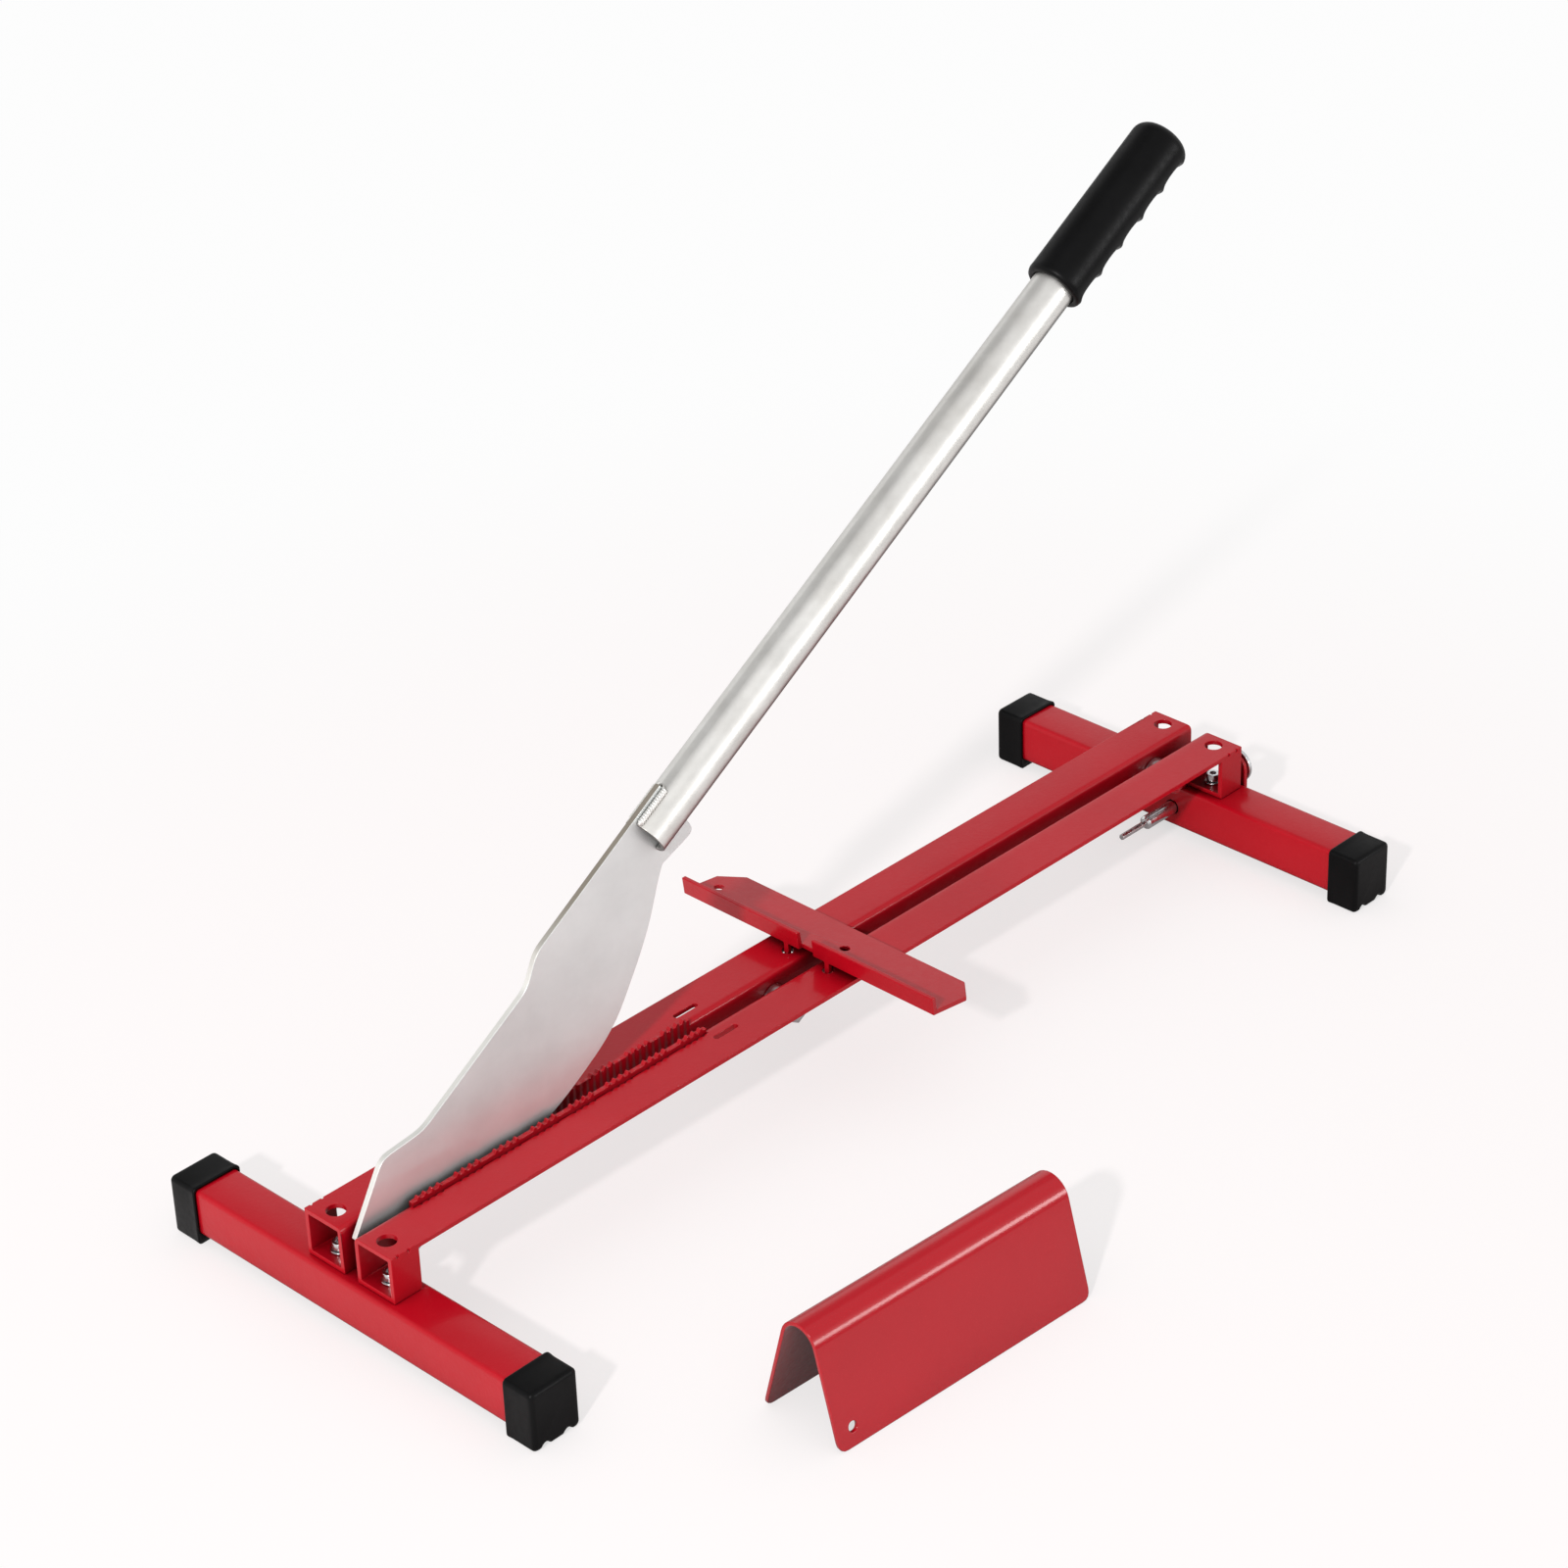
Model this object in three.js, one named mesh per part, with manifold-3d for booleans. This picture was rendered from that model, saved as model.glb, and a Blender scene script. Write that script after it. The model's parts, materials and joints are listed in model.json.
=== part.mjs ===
import * as THREE from 'three';
import { mergeVertices } from 'three/addons/utils/BufferGeometryUtils.js';
import Module from 'manifold-3d';

// A floor-standing laminate cutter: two toothed rails on two capped feet, a bolted
// cutting arm between the rails, a lift-out fence, a stored key and a loose support.
// Millimetres, +X along the rails, +Y away from the front, +Z up, floor at zero.

const wasm = await Module();
wasm.setup();

// Fits and facets
const FIT_GAP = 0.3;
const OVERRUN = 3;
const ROUND_SIDES = 32;
const HOLE_SIDES = 20;
const CORNER_STEPS = 4;
const CURVE_STEPS = 12;

// Feet and their caps
const FOOT_SIZE = 25;
const FOOT_WALL = 2;
const FOOT_CORNER = 2.5;
const FOOT_LENGTH = 243;
const CAP_DEPTH = 18.5;
const CAP_WALL = 1.1;
const CAP_END_WALL = 2;
const CAP_SOLE = 5;
const CAP_ROUND = 3;
const CAP_LIP = 0.3;
const CAP_LIP_LENGTH = 3;
const CAP_RIBS = 4;
const RIB_GROOVE = 3;
const RIB_DEPTH = 1;

// Rails
const RAIL_LENGTH = 600;
const RAIL_WIDTH = 25;
const RAIL_HEIGHT = 25;
const RAIL_SHEET = 2.5;
const RAIL_BEND = 3;
const SLOT_GAP = 9;
const WEB_DEPTH = 18;
const SEAT_LENGTH = 25;
const END_PLATE_LENGTH = 16.5;
const TAB_FIRST = 3.4;
const TAB_PITCH = 6.5;
const TAB_WIDTH = 1.3;
const TAB_DEPTH = 0.8;
const ACCESS_HOLE = 9.4;
const GAUGE_SLOT_START = 219.6;
const GAUGE_SLOT_LENGTH = 15.4;
const GAUGE_SLOT_WIDTH = 3;
const PIN_SPREAD = 27.4;
const PIN_HOLE = 6;

// Toothed strips
const TEETH_START = 33;
const TEETH_END = 221;
const FIRST_TOOTH = 37.2;
const TOOTH_PITCH = 4.3;
const TEETH_PER_GROUP = 4;
const GROUP_PITCH = 23.9;
const STRIP_RISE = 2;
const TOOTH_RISE = 1.3;
const TOOTH_BASE = 2.4;
const TOOTH_TIP = 0.9;
const RELIEF_GAP = 0.9;
const NOTCH_DEPTH = 0.9;

// Foot screws
const SCREW_INSET = 8.5;
const SCREW_SPREAD = 34.6;
const SCREW_SIZE = 4;
const SCREW_HEAD = 7;
const SCREW_SOCKET = 3;
const SCREW_SOCKET_DEPTH = 2;
const WASHER_SIZE = 9;
const WASHER_THICKNESS = 1;
const NUT_ACROSS = 7;
const NUT_HEIGHT = 3.2;

// Cross bolts, spacers and the pivot
const BOLT_SIZE = 8;
const BOLT_HEAD_ACROSS = 13;
const BOLT_HEAD_HEIGHT = 5.3;
const BOLT_NUT_HEIGHT = 6.5;
const SPACER_SIZE = 16;
const MID_SPACER_PLACE = 278;
const FAR_SPACER_INSET = 32.2;
const SPACER_DEPTH = 13.7;
const PIVOT_PLACE = 28;
const PIVOT_DEPTH = 13;
const PIVOT_WASHER_SIZE = 17;

// Blade, measured from the tip of its back edge
const BLADE_THICKNESS = 3;
const BLADE_LENGTH = 220.4;
const BLADE_HEIGHT = 147.4;
const TIP_BEHIND_PIVOT = 25;
const TIP_ABOVE_PIVOT = 7.1;
const TIP_ROUND = 2;
const HEEL_RADIUS = 10;
const BACK_ROUND = 5;
const TAIL_ROUND = 5;
const BACK_EDGE_SHARES = [[0.0901, 0.2354], [0.2037, 0.2544], [0.5082, 0.54], [0.5422, 0.65]];
const CUTTING_EDGE_SHARES = [
  [0.8934, 0.6635], [0.858, 0.519], [0.8022, 0.3643], [0.7382, 0.2266], [0.647, 0.1228],
  [0.5381, 0.0332], [0.4093, -0.0257], [0.2714, -0.0734], [0.1877, -0.1032],
];
const TAIL_FILLET_SHARE = 0.9099;
const TAIL_FILLET_RISE_SHARE = 0.7177;

// Handle tube and grip
const TUBE_ANGLE = THREE.MathUtils.degToRad(31.65);
const TUBE_SIZE = 22;
const TUBE_WALL = 2;
const TUBE_LENGTH = 424.7;
const TUBE_START_SHARES = [0.8695, 0.8413];
const TANG_LAP = 20.8;
const TANG_RISE = 15;
const TANG_DROP = 24;
const WELD_LEG = 3.2;
const GRIP_LENGTH = 99.2;
const GRIP_SIZE = 30.4;
const GRIP_MOUTH_SIZE = 26;
const GRIP_LIP_SIZE = 30;
const GRIP_LIP_LENGTH = 4;
const GRIP_END_WALL = 11;
const GRIP_ROUND = 8;
const FINGER_PITCH = 18;
const FINGER_COUNT = 5;
const FINGER_FIRST = 11.4;
const FINGER_WIDTH = 16.1;
const FINGER_DEPTH = 2.6;

// Fence
const FENCE_PLACE = 297.2;
const FENCE_LENGTH = 168.6;
const FENCE_DEPTH = 33.8;
const FENCE_SHEET = 2.5;
const FENCE_HEIGHT = 9.8;
const FENCE_LEAN = 1.2;
const FENCE_STAND = 4.7;
const FENCE_GAP = 9.5;
const FENCE_CORNER = 10.5;
const FENCE_HOLE = 5;
const FENCE_HOLE_SETBACK = 15;
const FENCE_HOLE_SHARES = [0.884, -0.142];
const LUG_WIDTH = 3;
const LUG_ROOT_WIDTH = 5;
const LUG_REACH = 6;

// Stored key and its keeper
const KEY_DROP = 1.2;
const KEY_SIZE = 7.5;
const KEY_TIP_ACROSS = 3;
const KEY_TIP_LENGTH = 18.8;
const KEY_REACH = 23.2;
const KEY_CHAMFER = 1.2;
const KEY_HEAD_SIZE = 12;
const KEY_HEAD_LENGTH = 3;
const KEEPER_SHEET = 2.5;
const KEEPER_RADIUS = 8.6;
const KEEPER_OFFSET = 20;
const KEEPER_RISE = 7.3;
const KEEPER_LAP = 19.7;
const KEEPER_SCREW_SIZE = 6;
const KEEPER_HEAD_SIZE = 19.5;
const KEEPER_HEAD_HEIGHT = 2;

// Plank support
const SUPPORT_LENGTH = 157;
const SUPPORT_SPREAD = 49.6;
const SUPPORT_HEIGHT = 57.6;
const SUPPORT_SHEET = 2;
const SUPPORT_CREST = 11.5;
const SUPPORT_CORNER = 5;
const SUPPORT_HOLE = 5;
const SUPPORT_HOLE_INSET = 10.1;
const SUPPORT_HOLE_RISE = 8.8;
const SUPPORT_YAW = THREE.MathUtils.degToRad(-3.13);
const SUPPORT_START = 82.6;
const SUPPORT_STANDOFF = 223.1;

// Heights that follow from the stack of sole, foot and rail
const FOOT_BOTTOM = CAP_SOLE + FIT_GAP;
const FOOT_TOP = FOOT_BOTTOM + FOOT_SIZE;
const FOOT_MIDDLE = (FOOT_BOTTOM + FOOT_TOP) / 2;
const RAIL_BOTTOM = FOOT_TOP + FIT_GAP;
const RAIL_TOP = RAIL_BOTTOM + RAIL_HEIGHT;
const SLOT_HALF = SLOT_GAP / 2;
const WEB_OUTSIDE = SLOT_HALF + RAIL_SHEET;
const RAIL_OUTSIDE = SLOT_HALF + RAIL_WIDTH;
const BOLT_BORE = BOLT_SIZE + FIT_GAP * 2;
const PIVOT_HEIGHT = RAIL_TOP - PIVOT_DEPTH;
const SPACER_HEIGHT = RAIL_TOP - SPACER_DEPTH;
const FAR_SPACER_PLACE = RAIL_LENGTH - FAR_SPACER_INSET;
const NEAR_FOOT_PLACE = SCREW_INSET;
const FAR_FOOT_PLACE = RAIL_LENGTH - SCREW_INSET;
const GRIP_START = TUBE_LENGTH + FIT_GAP + GRIP_END_WALL - GRIP_LENGTH;

const AXIS_X = new THREE.Vector3(1, 0, 0);
const AXIS_Y = new THREE.Vector3(0, 1, 0);
const AXIS_Z = new THREE.Vector3(0, 0, 1);
const ALONG_X = new THREE.Matrix4().makeBasis(AXIS_Y, AXIS_Z, AXIS_X);
const ALONG_Y = new THREE.Matrix4().makeBasis(AXIS_X, AXIS_Z, AXIS_Y.clone().negate());

// Finishes

function redPowderCoat() {
  return new THREE.MeshStandardMaterial({ color: 0xb3141d, roughness: 0.42, metalness: 0 });
}

function blackPlastic() {
  return new THREE.MeshStandardMaterial({ color: 0x121214, roughness: 0.45, metalness: 0 });
}

function blankSteel() {
  return new THREE.MeshStandardMaterial({ color: 0xc4c4c0, roughness: 0.4, metalness: 1 });
}

function brightPlate() {
  return new THREE.MeshStandardMaterial({ color: 0xd6d8da, roughness: 0.15, metalness: 1 });
}

// Solids and meshes

function solid(geometry) {
  const bare = geometry.clone();
  bare.deleteAttribute('normal');
  bare.deleteAttribute('uv');
  const welded = mergeVertices(bare);
  const triVerts = Uint32Array.from(welded.index.array);
  const vertProperties = welded.attributes.position.array;
  return new wasm.Manifold(new wasm.Mesh({ numProp: 3, vertProperties, triVerts }));
}

function piece(name, body, material) {
  const { vertProperties, triVerts } = body.getMesh();
  const shared = new THREE.BufferGeometry();
  shared.setAttribute('position', new THREE.BufferAttribute(vertProperties, 3));
  shared.setIndex(new THREE.BufferAttribute(triVerts, 1));
  const geometry = shared.toNonIndexed();
  geometry.computeVertexNormals();
  const mesh = new THREE.Mesh(geometry, material);
  mesh.name = name;
  return mesh;
}

// A prism of a shape drawn in the plane across the named axis.
function prismAlongX(shape, from, to) {
  const options = { depth: to - from, bevelEnabled: false, curveSegments: CORNER_STEPS };
  const geometry = new THREE.ExtrudeGeometry(shape, options);
  geometry.applyMatrix4(ALONG_X);
  geometry.translate(from, 0, 0);
  return solid(geometry);
}

function prismAlongY(shape, from, to) {
  const options = { depth: to - from, bevelEnabled: false, curveSegments: CORNER_STEPS };
  const geometry = new THREE.ExtrudeGeometry(shape, options);
  geometry.applyMatrix4(ALONG_Y);
  geometry.translate(0, to, 0);
  return solid(geometry);
}

function prismAlongZ(shape, from, to) {
  const options = { depth: to - from, bevelEnabled: false, curveSegments: CORNER_STEPS };
  const geometry = new THREE.ExtrudeGeometry(shape, options);
  geometry.translate(0, 0, from);
  return solid(geometry);
}

function block(x, y, z) {
  const geometry = new THREE.BoxGeometry(x[1] - x[0], y[1] - y[0], z[1] - z[0]);
  geometry.translate((x[0] + x[1]) / 2, (y[0] + y[1]) / 2, (z[0] + z[1]) / 2);
  return solid(geometry);
}

// Round or hexagonal bars along an axis. A bar takes its diameter and its two ends.
function barAlongY(size, from, to, sides = HOLE_SIDES) {
  const geometry = new THREE.CylinderGeometry(size / 2, size / 2, to - from, sides);
  geometry.translate(0, (from + to) / 2, 0);
  return solid(geometry);
}

function barAlongZ(size, from, to, sides = HOLE_SIDES) {
  const geometry = new THREE.CylinderGeometry(size / 2, size / 2, to - from, sides);
  geometry.rotateX(Math.PI / 2);
  geometry.translate(0, 0, (from + to) / 2);
  return solid(geometry);
}

function barAlongX(size, from, to, sides = HOLE_SIDES) {
  const geometry = new THREE.CylinderGeometry(size / 2, size / 2, to - from, sides);
  geometry.rotateZ(Math.PI / 2);
  geometry.translate((from + to) / 2, 0, 0);
  return solid(geometry);
}

// The corner to corner size of a hexagon with the given size across its flats.
function hexSize(across) {
  return across / Math.cos(Math.PI / 6);
}

// A closed outline through corners [x, y, radius], each rounded by its radius.
function roundedShape(corners) {
  const shape = new THREE.Shape();
  corners.forEach(([x, y, radius], index) => {
    const before = corners[(index + corners.length - 1) % corners.length];
    const after = corners[(index + 1) % corners.length];
    const corner = new THREE.Vector2(x, y);
    const entry = new THREE.Vector2(before[0], before[1]).sub(corner).setLength(radius).add(corner);
    const exit = new THREE.Vector2(after[0], after[1]).sub(corner).setLength(radius).add(corner);
    if (index === 0) shape.moveTo(entry.x, entry.y);
    else shape.lineTo(entry.x, entry.y);
    if (radius > 0) shape.quadraticCurveTo(x, y, exit.x, exit.y);
  });
  shape.closePath();
  return shape;
}

function roundedRectangle(x, y, radius) {
  return roundedShape([[x[0], y[0], radius], [x[1], y[0], radius], [x[1], y[1], radius], [x[0], y[1], radius]]);
}

// Feet

function footTube(holes) {
  const half = FOOT_SIZE / 2;
  const inside = half - FOOT_WALL;
  const reach = FOOT_LENGTH / 2;
  const innerCorner = FOOT_CORNER - FOOT_WALL / 2;
  const middle = FOOT_MIDDLE;
  const outer = roundedRectangle([-half, half], [middle - half, middle + half], FOOT_CORNER);
  const inner = roundedRectangle([-inside, inside], [middle - inside, middle + inside], innerCorner);
  const shell = prismAlongY(outer, -reach, reach).subtract(prismAlongY(inner, -reach - OVERRUN, reach + OVERRUN));
  return holes.reduce((body, hole) => body.subtract(hole), shell);
}

function footScrewHoles() {
  const size = SCREW_SIZE + FIT_GAP * 2;
  return [-1, 1].map((side) => {
    const hole = barAlongZ(size, FOOT_MIDDLE, FOOT_TOP + OVERRUN, HOLE_SIDES);
    return hole.translate([0, side * SCREW_SPREAD / 2, 0]);
  });
}

function keyHole() {
  const reach = FOOT_SIZE / 2 + OVERRUN;
  return barAlongX(KEY_SIZE + FIT_GAP * 2, -reach, reach).translate([0, 0, FOOT_MIDDLE - KEY_DROP]);
}

// The cap's section: a rounded box whose sole has ribs that run along the foot.
function capSection(half, top) {
  const pitch = half * 2 / CAP_RIBS;
  const shape = new THREE.Shape();
  shape.moveTo(-half + RIB_DEPTH, 0);
  for (let groove = 1; groove < CAP_RIBS; groove += 1) {
    const centre = groove * pitch - half;
    shape.lineTo(centre - RIB_GROOVE / 2, 0);
    shape.quadraticCurveTo(centre, RIB_DEPTH * 2, centre + RIB_GROOVE / 2, 0);
  }
  shape.lineTo(half - RIB_DEPTH, 0);
  shape.quadraticCurveTo(half, 0, half, RIB_DEPTH);
  shape.lineTo(half, top - CAP_ROUND);
  shape.quadraticCurveTo(half, top, half - CAP_ROUND, top);
  shape.lineTo(CAP_ROUND - half, top);
  shape.quadraticCurveTo(-half, top, -half, top - CAP_ROUND);
  shape.lineTo(-half, RIB_DEPTH);
  shape.quadraticCurveTo(-half, 0, RIB_DEPTH - half, 0);
  return shape;
}

function footCap() {
  const half = FOOT_SIZE / 2 + FIT_GAP + CAP_WALL;
  const top = FOOT_TOP + FIT_GAP + CAP_WALL;
  const lipHalf = half + CAP_LIP;
  const lipTop = top + CAP_LIP;
  const plan = roundedShape([
    [-half, 0, 0], [half, 0, 0], [half, CAP_DEPTH, CAP_ROUND], [-half, CAP_DEPTH, CAP_ROUND],
  ]);
  const side = roundedShape([
    [0, 0, 0], [CAP_DEPTH, 0, RIB_DEPTH], [CAP_DEPTH, top, CAP_ROUND], [0, top, 0],
  ]);
  const lip = roundedRectangle([-lipHalf, lipHalf], [RIB_DEPTH, lipTop], CAP_ROUND);
  const inside = FOOT_SIZE / 2 + FIT_GAP;
  const pocket = roundedRectangle([-inside, inside], [FOOT_BOTTOM - FIT_GAP, FOOT_TOP + FIT_GAP], FOOT_CORNER);
  return prismAlongY(capSection(half, top), 0, CAP_DEPTH)
    .intersect(prismAlongZ(plan, 0, top))
    .intersect(prismAlongX(side, -half, half))
    .add(prismAlongY(lip, 0, CAP_LIP_LENGTH))
    .subtract(prismAlongY(pocket, -OVERRUN, CAP_DEPTH - CAP_END_WALL));
}

function foot(place, prefix, holes) {
  const group = new THREE.Group();
  group.position.x = place;
  group.add(piece(`${prefix}_foot_tube`, footTube(holes), redPowderCoat()));
  const capStart = FOOT_LENGTH / 2 + FIT_GAP + CAP_END_WALL - CAP_DEPTH;
  const rearCap = piece(`${prefix}_rear_cap`, footCap(), blackPlastic());
  rearCap.position.y = capStart;
  const frontCap = piece(`${prefix}_front_cap`, footCap(), blackPlastic());
  frontCap.position.y = -capStart;
  frontCap.rotation.z = Math.PI;
  group.add(rearCap, frontCap);
  return group;
}

// Rails, drawn for the rear side where Y grows away from the slot

// The folded section: web beside the slot, top flange, and below it a bottom flange
// when the section is that of a seat over a foot.
function railSection(depth, hasBottomFlange) {
  const bottom = RAIL_TOP - depth;
  const shape = new THREE.Shape();
  shape.moveTo(RAIL_OUTSIDE, RAIL_TOP);
  shape.lineTo(SLOT_HALF + RAIL_BEND, RAIL_TOP);
  shape.quadraticCurveTo(SLOT_HALF, RAIL_TOP, SLOT_HALF, RAIL_TOP - RAIL_BEND);
  if (hasBottomFlange) {
    shape.lineTo(SLOT_HALF, bottom + RAIL_BEND);
    shape.quadraticCurveTo(SLOT_HALF, bottom, SLOT_HALF + RAIL_BEND, bottom);
    shape.lineTo(RAIL_OUTSIDE, bottom);
    shape.lineTo(RAIL_OUTSIDE, bottom + RAIL_SHEET);
    shape.lineTo(WEB_OUTSIDE, bottom + RAIL_SHEET);
  } else {
    shape.lineTo(SLOT_HALF, bottom);
    shape.lineTo(WEB_OUTSIDE, bottom);
  }
  shape.lineTo(WEB_OUTSIDE, RAIL_TOP - RAIL_SHEET);
  shape.lineTo(RAIL_OUTSIDE, RAIL_TOP - RAIL_SHEET);
  shape.closePath();
  return shape;
}

function endPlate() {
  const inner = RAIL_OUTSIDE - RAIL_SHEET;
  return block([0, END_PLATE_LENGTH], [inner, RAIL_OUTSIDE], [RAIL_BOTTOM, RAIL_TOP]);
}

function tabNotches() {
  const y = [RAIL_OUTSIDE - TAB_DEPTH, RAIL_OUTSIDE + OVERRUN];
  const z = [RAIL_TOP - TAB_DEPTH * 2, RAIL_TOP + OVERRUN];
  const first = block([TAB_FIRST, TAB_FIRST + TAB_WIDTH], y, z);
  return first.add(first.translate([TAB_PITCH, 0, 0]));
}

// The folded seat that stands on a foot, where the web reaches down past the end plate.
function railEnd() {
  return prismAlongX(railSection(RAIL_HEIGHT, true), 0, END_PLATE_LENGTH)
    .add(prismAlongX(railSection(RAIL_HEIGHT, false), 0, SEAT_LENGTH))
    .add(endPlate());
}

function railEndCuts() {
  const place = [SCREW_INSET, SCREW_SPREAD / 2, 0];
  const below = SCREW_SIZE + FIT_GAP * 2;
  const access = barAlongZ(ACCESS_HOLE, RAIL_TOP - RAIL_HEIGHT / 2, RAIL_TOP + OVERRUN, ROUND_SIDES);
  const screw = barAlongZ(below, RAIL_BOTTOM - OVERRUN, RAIL_TOP - RAIL_HEIGHT / 2);
  return access.add(screw).translate(place).add(tabNotches());
}

function atFarEnd(body) {
  return body.mirror([1, 0, 0]).translate([RAIL_LENGTH, 0, 0]);
}

function toothPlaces() {
  const places = [];
  const groupLength = TOOTH_PITCH * (TEETH_PER_GROUP - 1);
  for (let start = FIRST_TOOTH; start + groupLength < TEETH_END - TOOTH_BASE / 2; start += GROUP_PITCH) {
    for (let tooth = 0; tooth < TEETH_PER_GROUP; tooth += 1) places.push(start + tooth * TOOTH_PITCH);
  }
  return places;
}

function toothedStrip() {
  const base = RAIL_TOP + STRIP_RISE;
  const tip = base + TOOTH_RISE;
  const shape = new THREE.Shape();
  shape.moveTo(TEETH_START, RAIL_TOP - RAIL_BEND * 2);
  shape.lineTo(TEETH_START, base);
  toothPlaces().forEach((place) => {
    shape.lineTo(place - TOOTH_BASE / 2, base);
    shape.lineTo(place - TOOTH_TIP / 2, tip);
    shape.lineTo(place + TOOTH_TIP / 2, tip);
    shape.lineTo(place + TOOTH_BASE / 2, base);
  });
  shape.lineTo(TEETH_END, base);
  shape.lineTo(TEETH_END, RAIL_TOP - RAIL_BEND * 2);
  shape.closePath();
  return prismAlongY(shape, SLOT_HALF, WEB_OUTSIDE);
}

// The slit that frees the strip from the top flange, with a notch beside each tooth.
function stripRelief() {
  const outer = WEB_OUTSIDE + RELIEF_GAP;
  const notchOuter = outer + NOTCH_DEPTH;
  const shape = new THREE.Shape();
  shape.moveTo(TEETH_START, WEB_OUTSIDE);
  shape.lineTo(TEETH_END, WEB_OUTSIDE);
  shape.lineTo(TEETH_END, outer);
  toothPlaces().reverse().forEach((place) => {
    shape.lineTo(place + TOOTH_BASE / 2, outer);
    shape.lineTo(place, notchOuter);
    shape.lineTo(place - TOOTH_BASE / 2, outer);
  });
  shape.lineTo(TEETH_START, outer);
  shape.closePath();
  return prismAlongZ(shape, RAIL_TOP - RAIL_SHEET - FIT_GAP, RAIL_TOP + OVERRUN);
}

function gaugeSlot() {
  const half = GAUGE_SLOT_WIDTH / 2;
  const middle = PIN_SPREAD / 2;
  const end = GAUGE_SLOT_START + GAUGE_SLOT_LENGTH;
  const shape = roundedRectangle([GAUGE_SLOT_START, end], [middle - half, middle + half], half);
  return prismAlongZ(shape, RAIL_TOP - RAIL_SHEET - OVERRUN, RAIL_TOP + OVERRUN);
}

function pinHole() {
  const hole = barAlongZ(PIN_HOLE, RAIL_TOP - RAIL_SHEET - OVERRUN, RAIL_TOP + OVERRUN);
  return hole.translate([FENCE_PLACE + FENCE_SHEET / 2, PIN_SPREAD / 2, 0]);
}

function boltHole(place, height) {
  return barAlongY(BOLT_BORE, 0, RAIL_OUTSIDE).translate([place, 0, height]);
}

function rail() {
  const end = railEnd();
  const cuts = railEndCuts();
  return prismAlongX(railSection(WEB_DEPTH, false), 0, RAIL_LENGTH)
    .add(end)
    .add(atFarEnd(end))
    .add(toothedStrip())
    .subtract(stripRelief())
    .subtract(cuts)
    .subtract(atFarEnd(cuts))
    .subtract(gaugeSlot())
    .subtract(pinHole())
    .subtract(boltHole(PIVOT_PLACE, PIVOT_HEIGHT))
    .subtract(boltHole(MID_SPACER_PLACE, SPACER_HEIGHT))
    .subtract(boltHole(FAR_SPACER_PLACE, SPACER_HEIGHT));
}

// Fasteners

// A foot screw stands on its washer on the bottom flange and ends in a nut in the foot.
function footScrew() {
  const washerTop = RAIL_BOTTOM + RAIL_SHEET + FIT_GAP + WASHER_THICKNESS;
  const underHead = washerTop + FIT_GAP;
  const headTop = underHead + SCREW_SIZE;
  const nutBottom = FOOT_TOP - FOOT_WALL - FIT_GAP - NUT_HEIGHT;
  const socket = barAlongZ(hexSize(SCREW_SOCKET), headTop - SCREW_SOCKET_DEPTH, headTop + OVERRUN, 6);
  return barAlongZ(SCREW_SIZE, nutBottom - FIT_GAP, underHead + SCREW_SIZE / 2)
    .add(barAlongZ(SCREW_HEAD, underHead, headTop, ROUND_SIDES))
    .subtract(socket);
}

function footWasher() {
  const bottom = RAIL_BOTTOM + RAIL_SHEET + FIT_GAP;
  const top = bottom + WASHER_THICKNESS;
  return barAlongZ(WASHER_SIZE, bottom, top, ROUND_SIDES)
    .subtract(barAlongZ(SCREW_SIZE + FIT_GAP * 2, bottom - OVERRUN, top + OVERRUN));
}

function footNut() {
  const top = FOOT_TOP - FOOT_WALL - FIT_GAP;
  const bottom = top - NUT_HEIGHT;
  return barAlongZ(hexSize(NUT_ACROSS), bottom, top, 6)
    .subtract(barAlongZ(SCREW_SIZE + FIT_GAP * 2, bottom - OVERRUN, top + OVERRUN));
}

function footFasteners() {
  const group = new THREE.Group();
  const ends = [['near', NEAR_FOOT_PLACE], ['far', FAR_FOOT_PLACE]];
  const sides = [['front', -1], ['rear', 1]];
  ends.forEach(([end, x]) => sides.forEach(([side, sign]) => {
    const set = new THREE.Group();
    set.position.set(x, sign * SCREW_SPREAD / 2, 0);
    set.add(piece(`${end}_${side}_screw`, footScrew(), brightPlate()));
    set.add(piece(`${end}_${side}_washer`, footWasher(), brightPlate()));
    set.add(piece(`${end}_${side}_nut`, footNut(), brightPlate()));
    group.add(set);
  }));
  return group;
}

function crossBolt() {
  const headInner = -WEB_OUTSIDE - FIT_GAP;
  const nutOuter = WEB_OUTSIDE + FIT_GAP + BOLT_NUT_HEIGHT;
  return barAlongY(BOLT_SIZE, headInner - BOLT_HEAD_HEIGHT / 2, nutOuter + FIT_GAP)
    .add(barAlongY(hexSize(BOLT_HEAD_ACROSS), headInner - BOLT_HEAD_HEIGHT, headInner, 6));
}

function crossNut() {
  const inner = WEB_OUTSIDE + FIT_GAP;
  const outer = inner + BOLT_NUT_HEIGHT;
  return barAlongY(hexSize(BOLT_HEAD_ACROSS), inner, outer, 6)
    .subtract(barAlongY(BOLT_BORE, inner - OVERRUN, outer + OVERRUN));
}

function sleeve(size, from, to) {
  return barAlongY(size, from, to, ROUND_SIDES).subtract(barAlongY(BOLT_BORE, from - OVERRUN, to + OVERRUN));
}

function spacerSet(prefix, place) {
  const group = new THREE.Group();
  const reach = SLOT_HALF - FIT_GAP;
  group.position.set(place, 0, SPACER_HEIGHT);
  group.add(piece(`${prefix}_spacer`, sleeve(SPACER_SIZE, -reach, reach), brightPlate()));
  group.add(piece(`${prefix}_spacer_bolt`, crossBolt(), brightPlate()));
  group.add(piece(`${prefix}_spacer_nut`, crossNut(), brightPlate()));
  return group;
}

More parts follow.
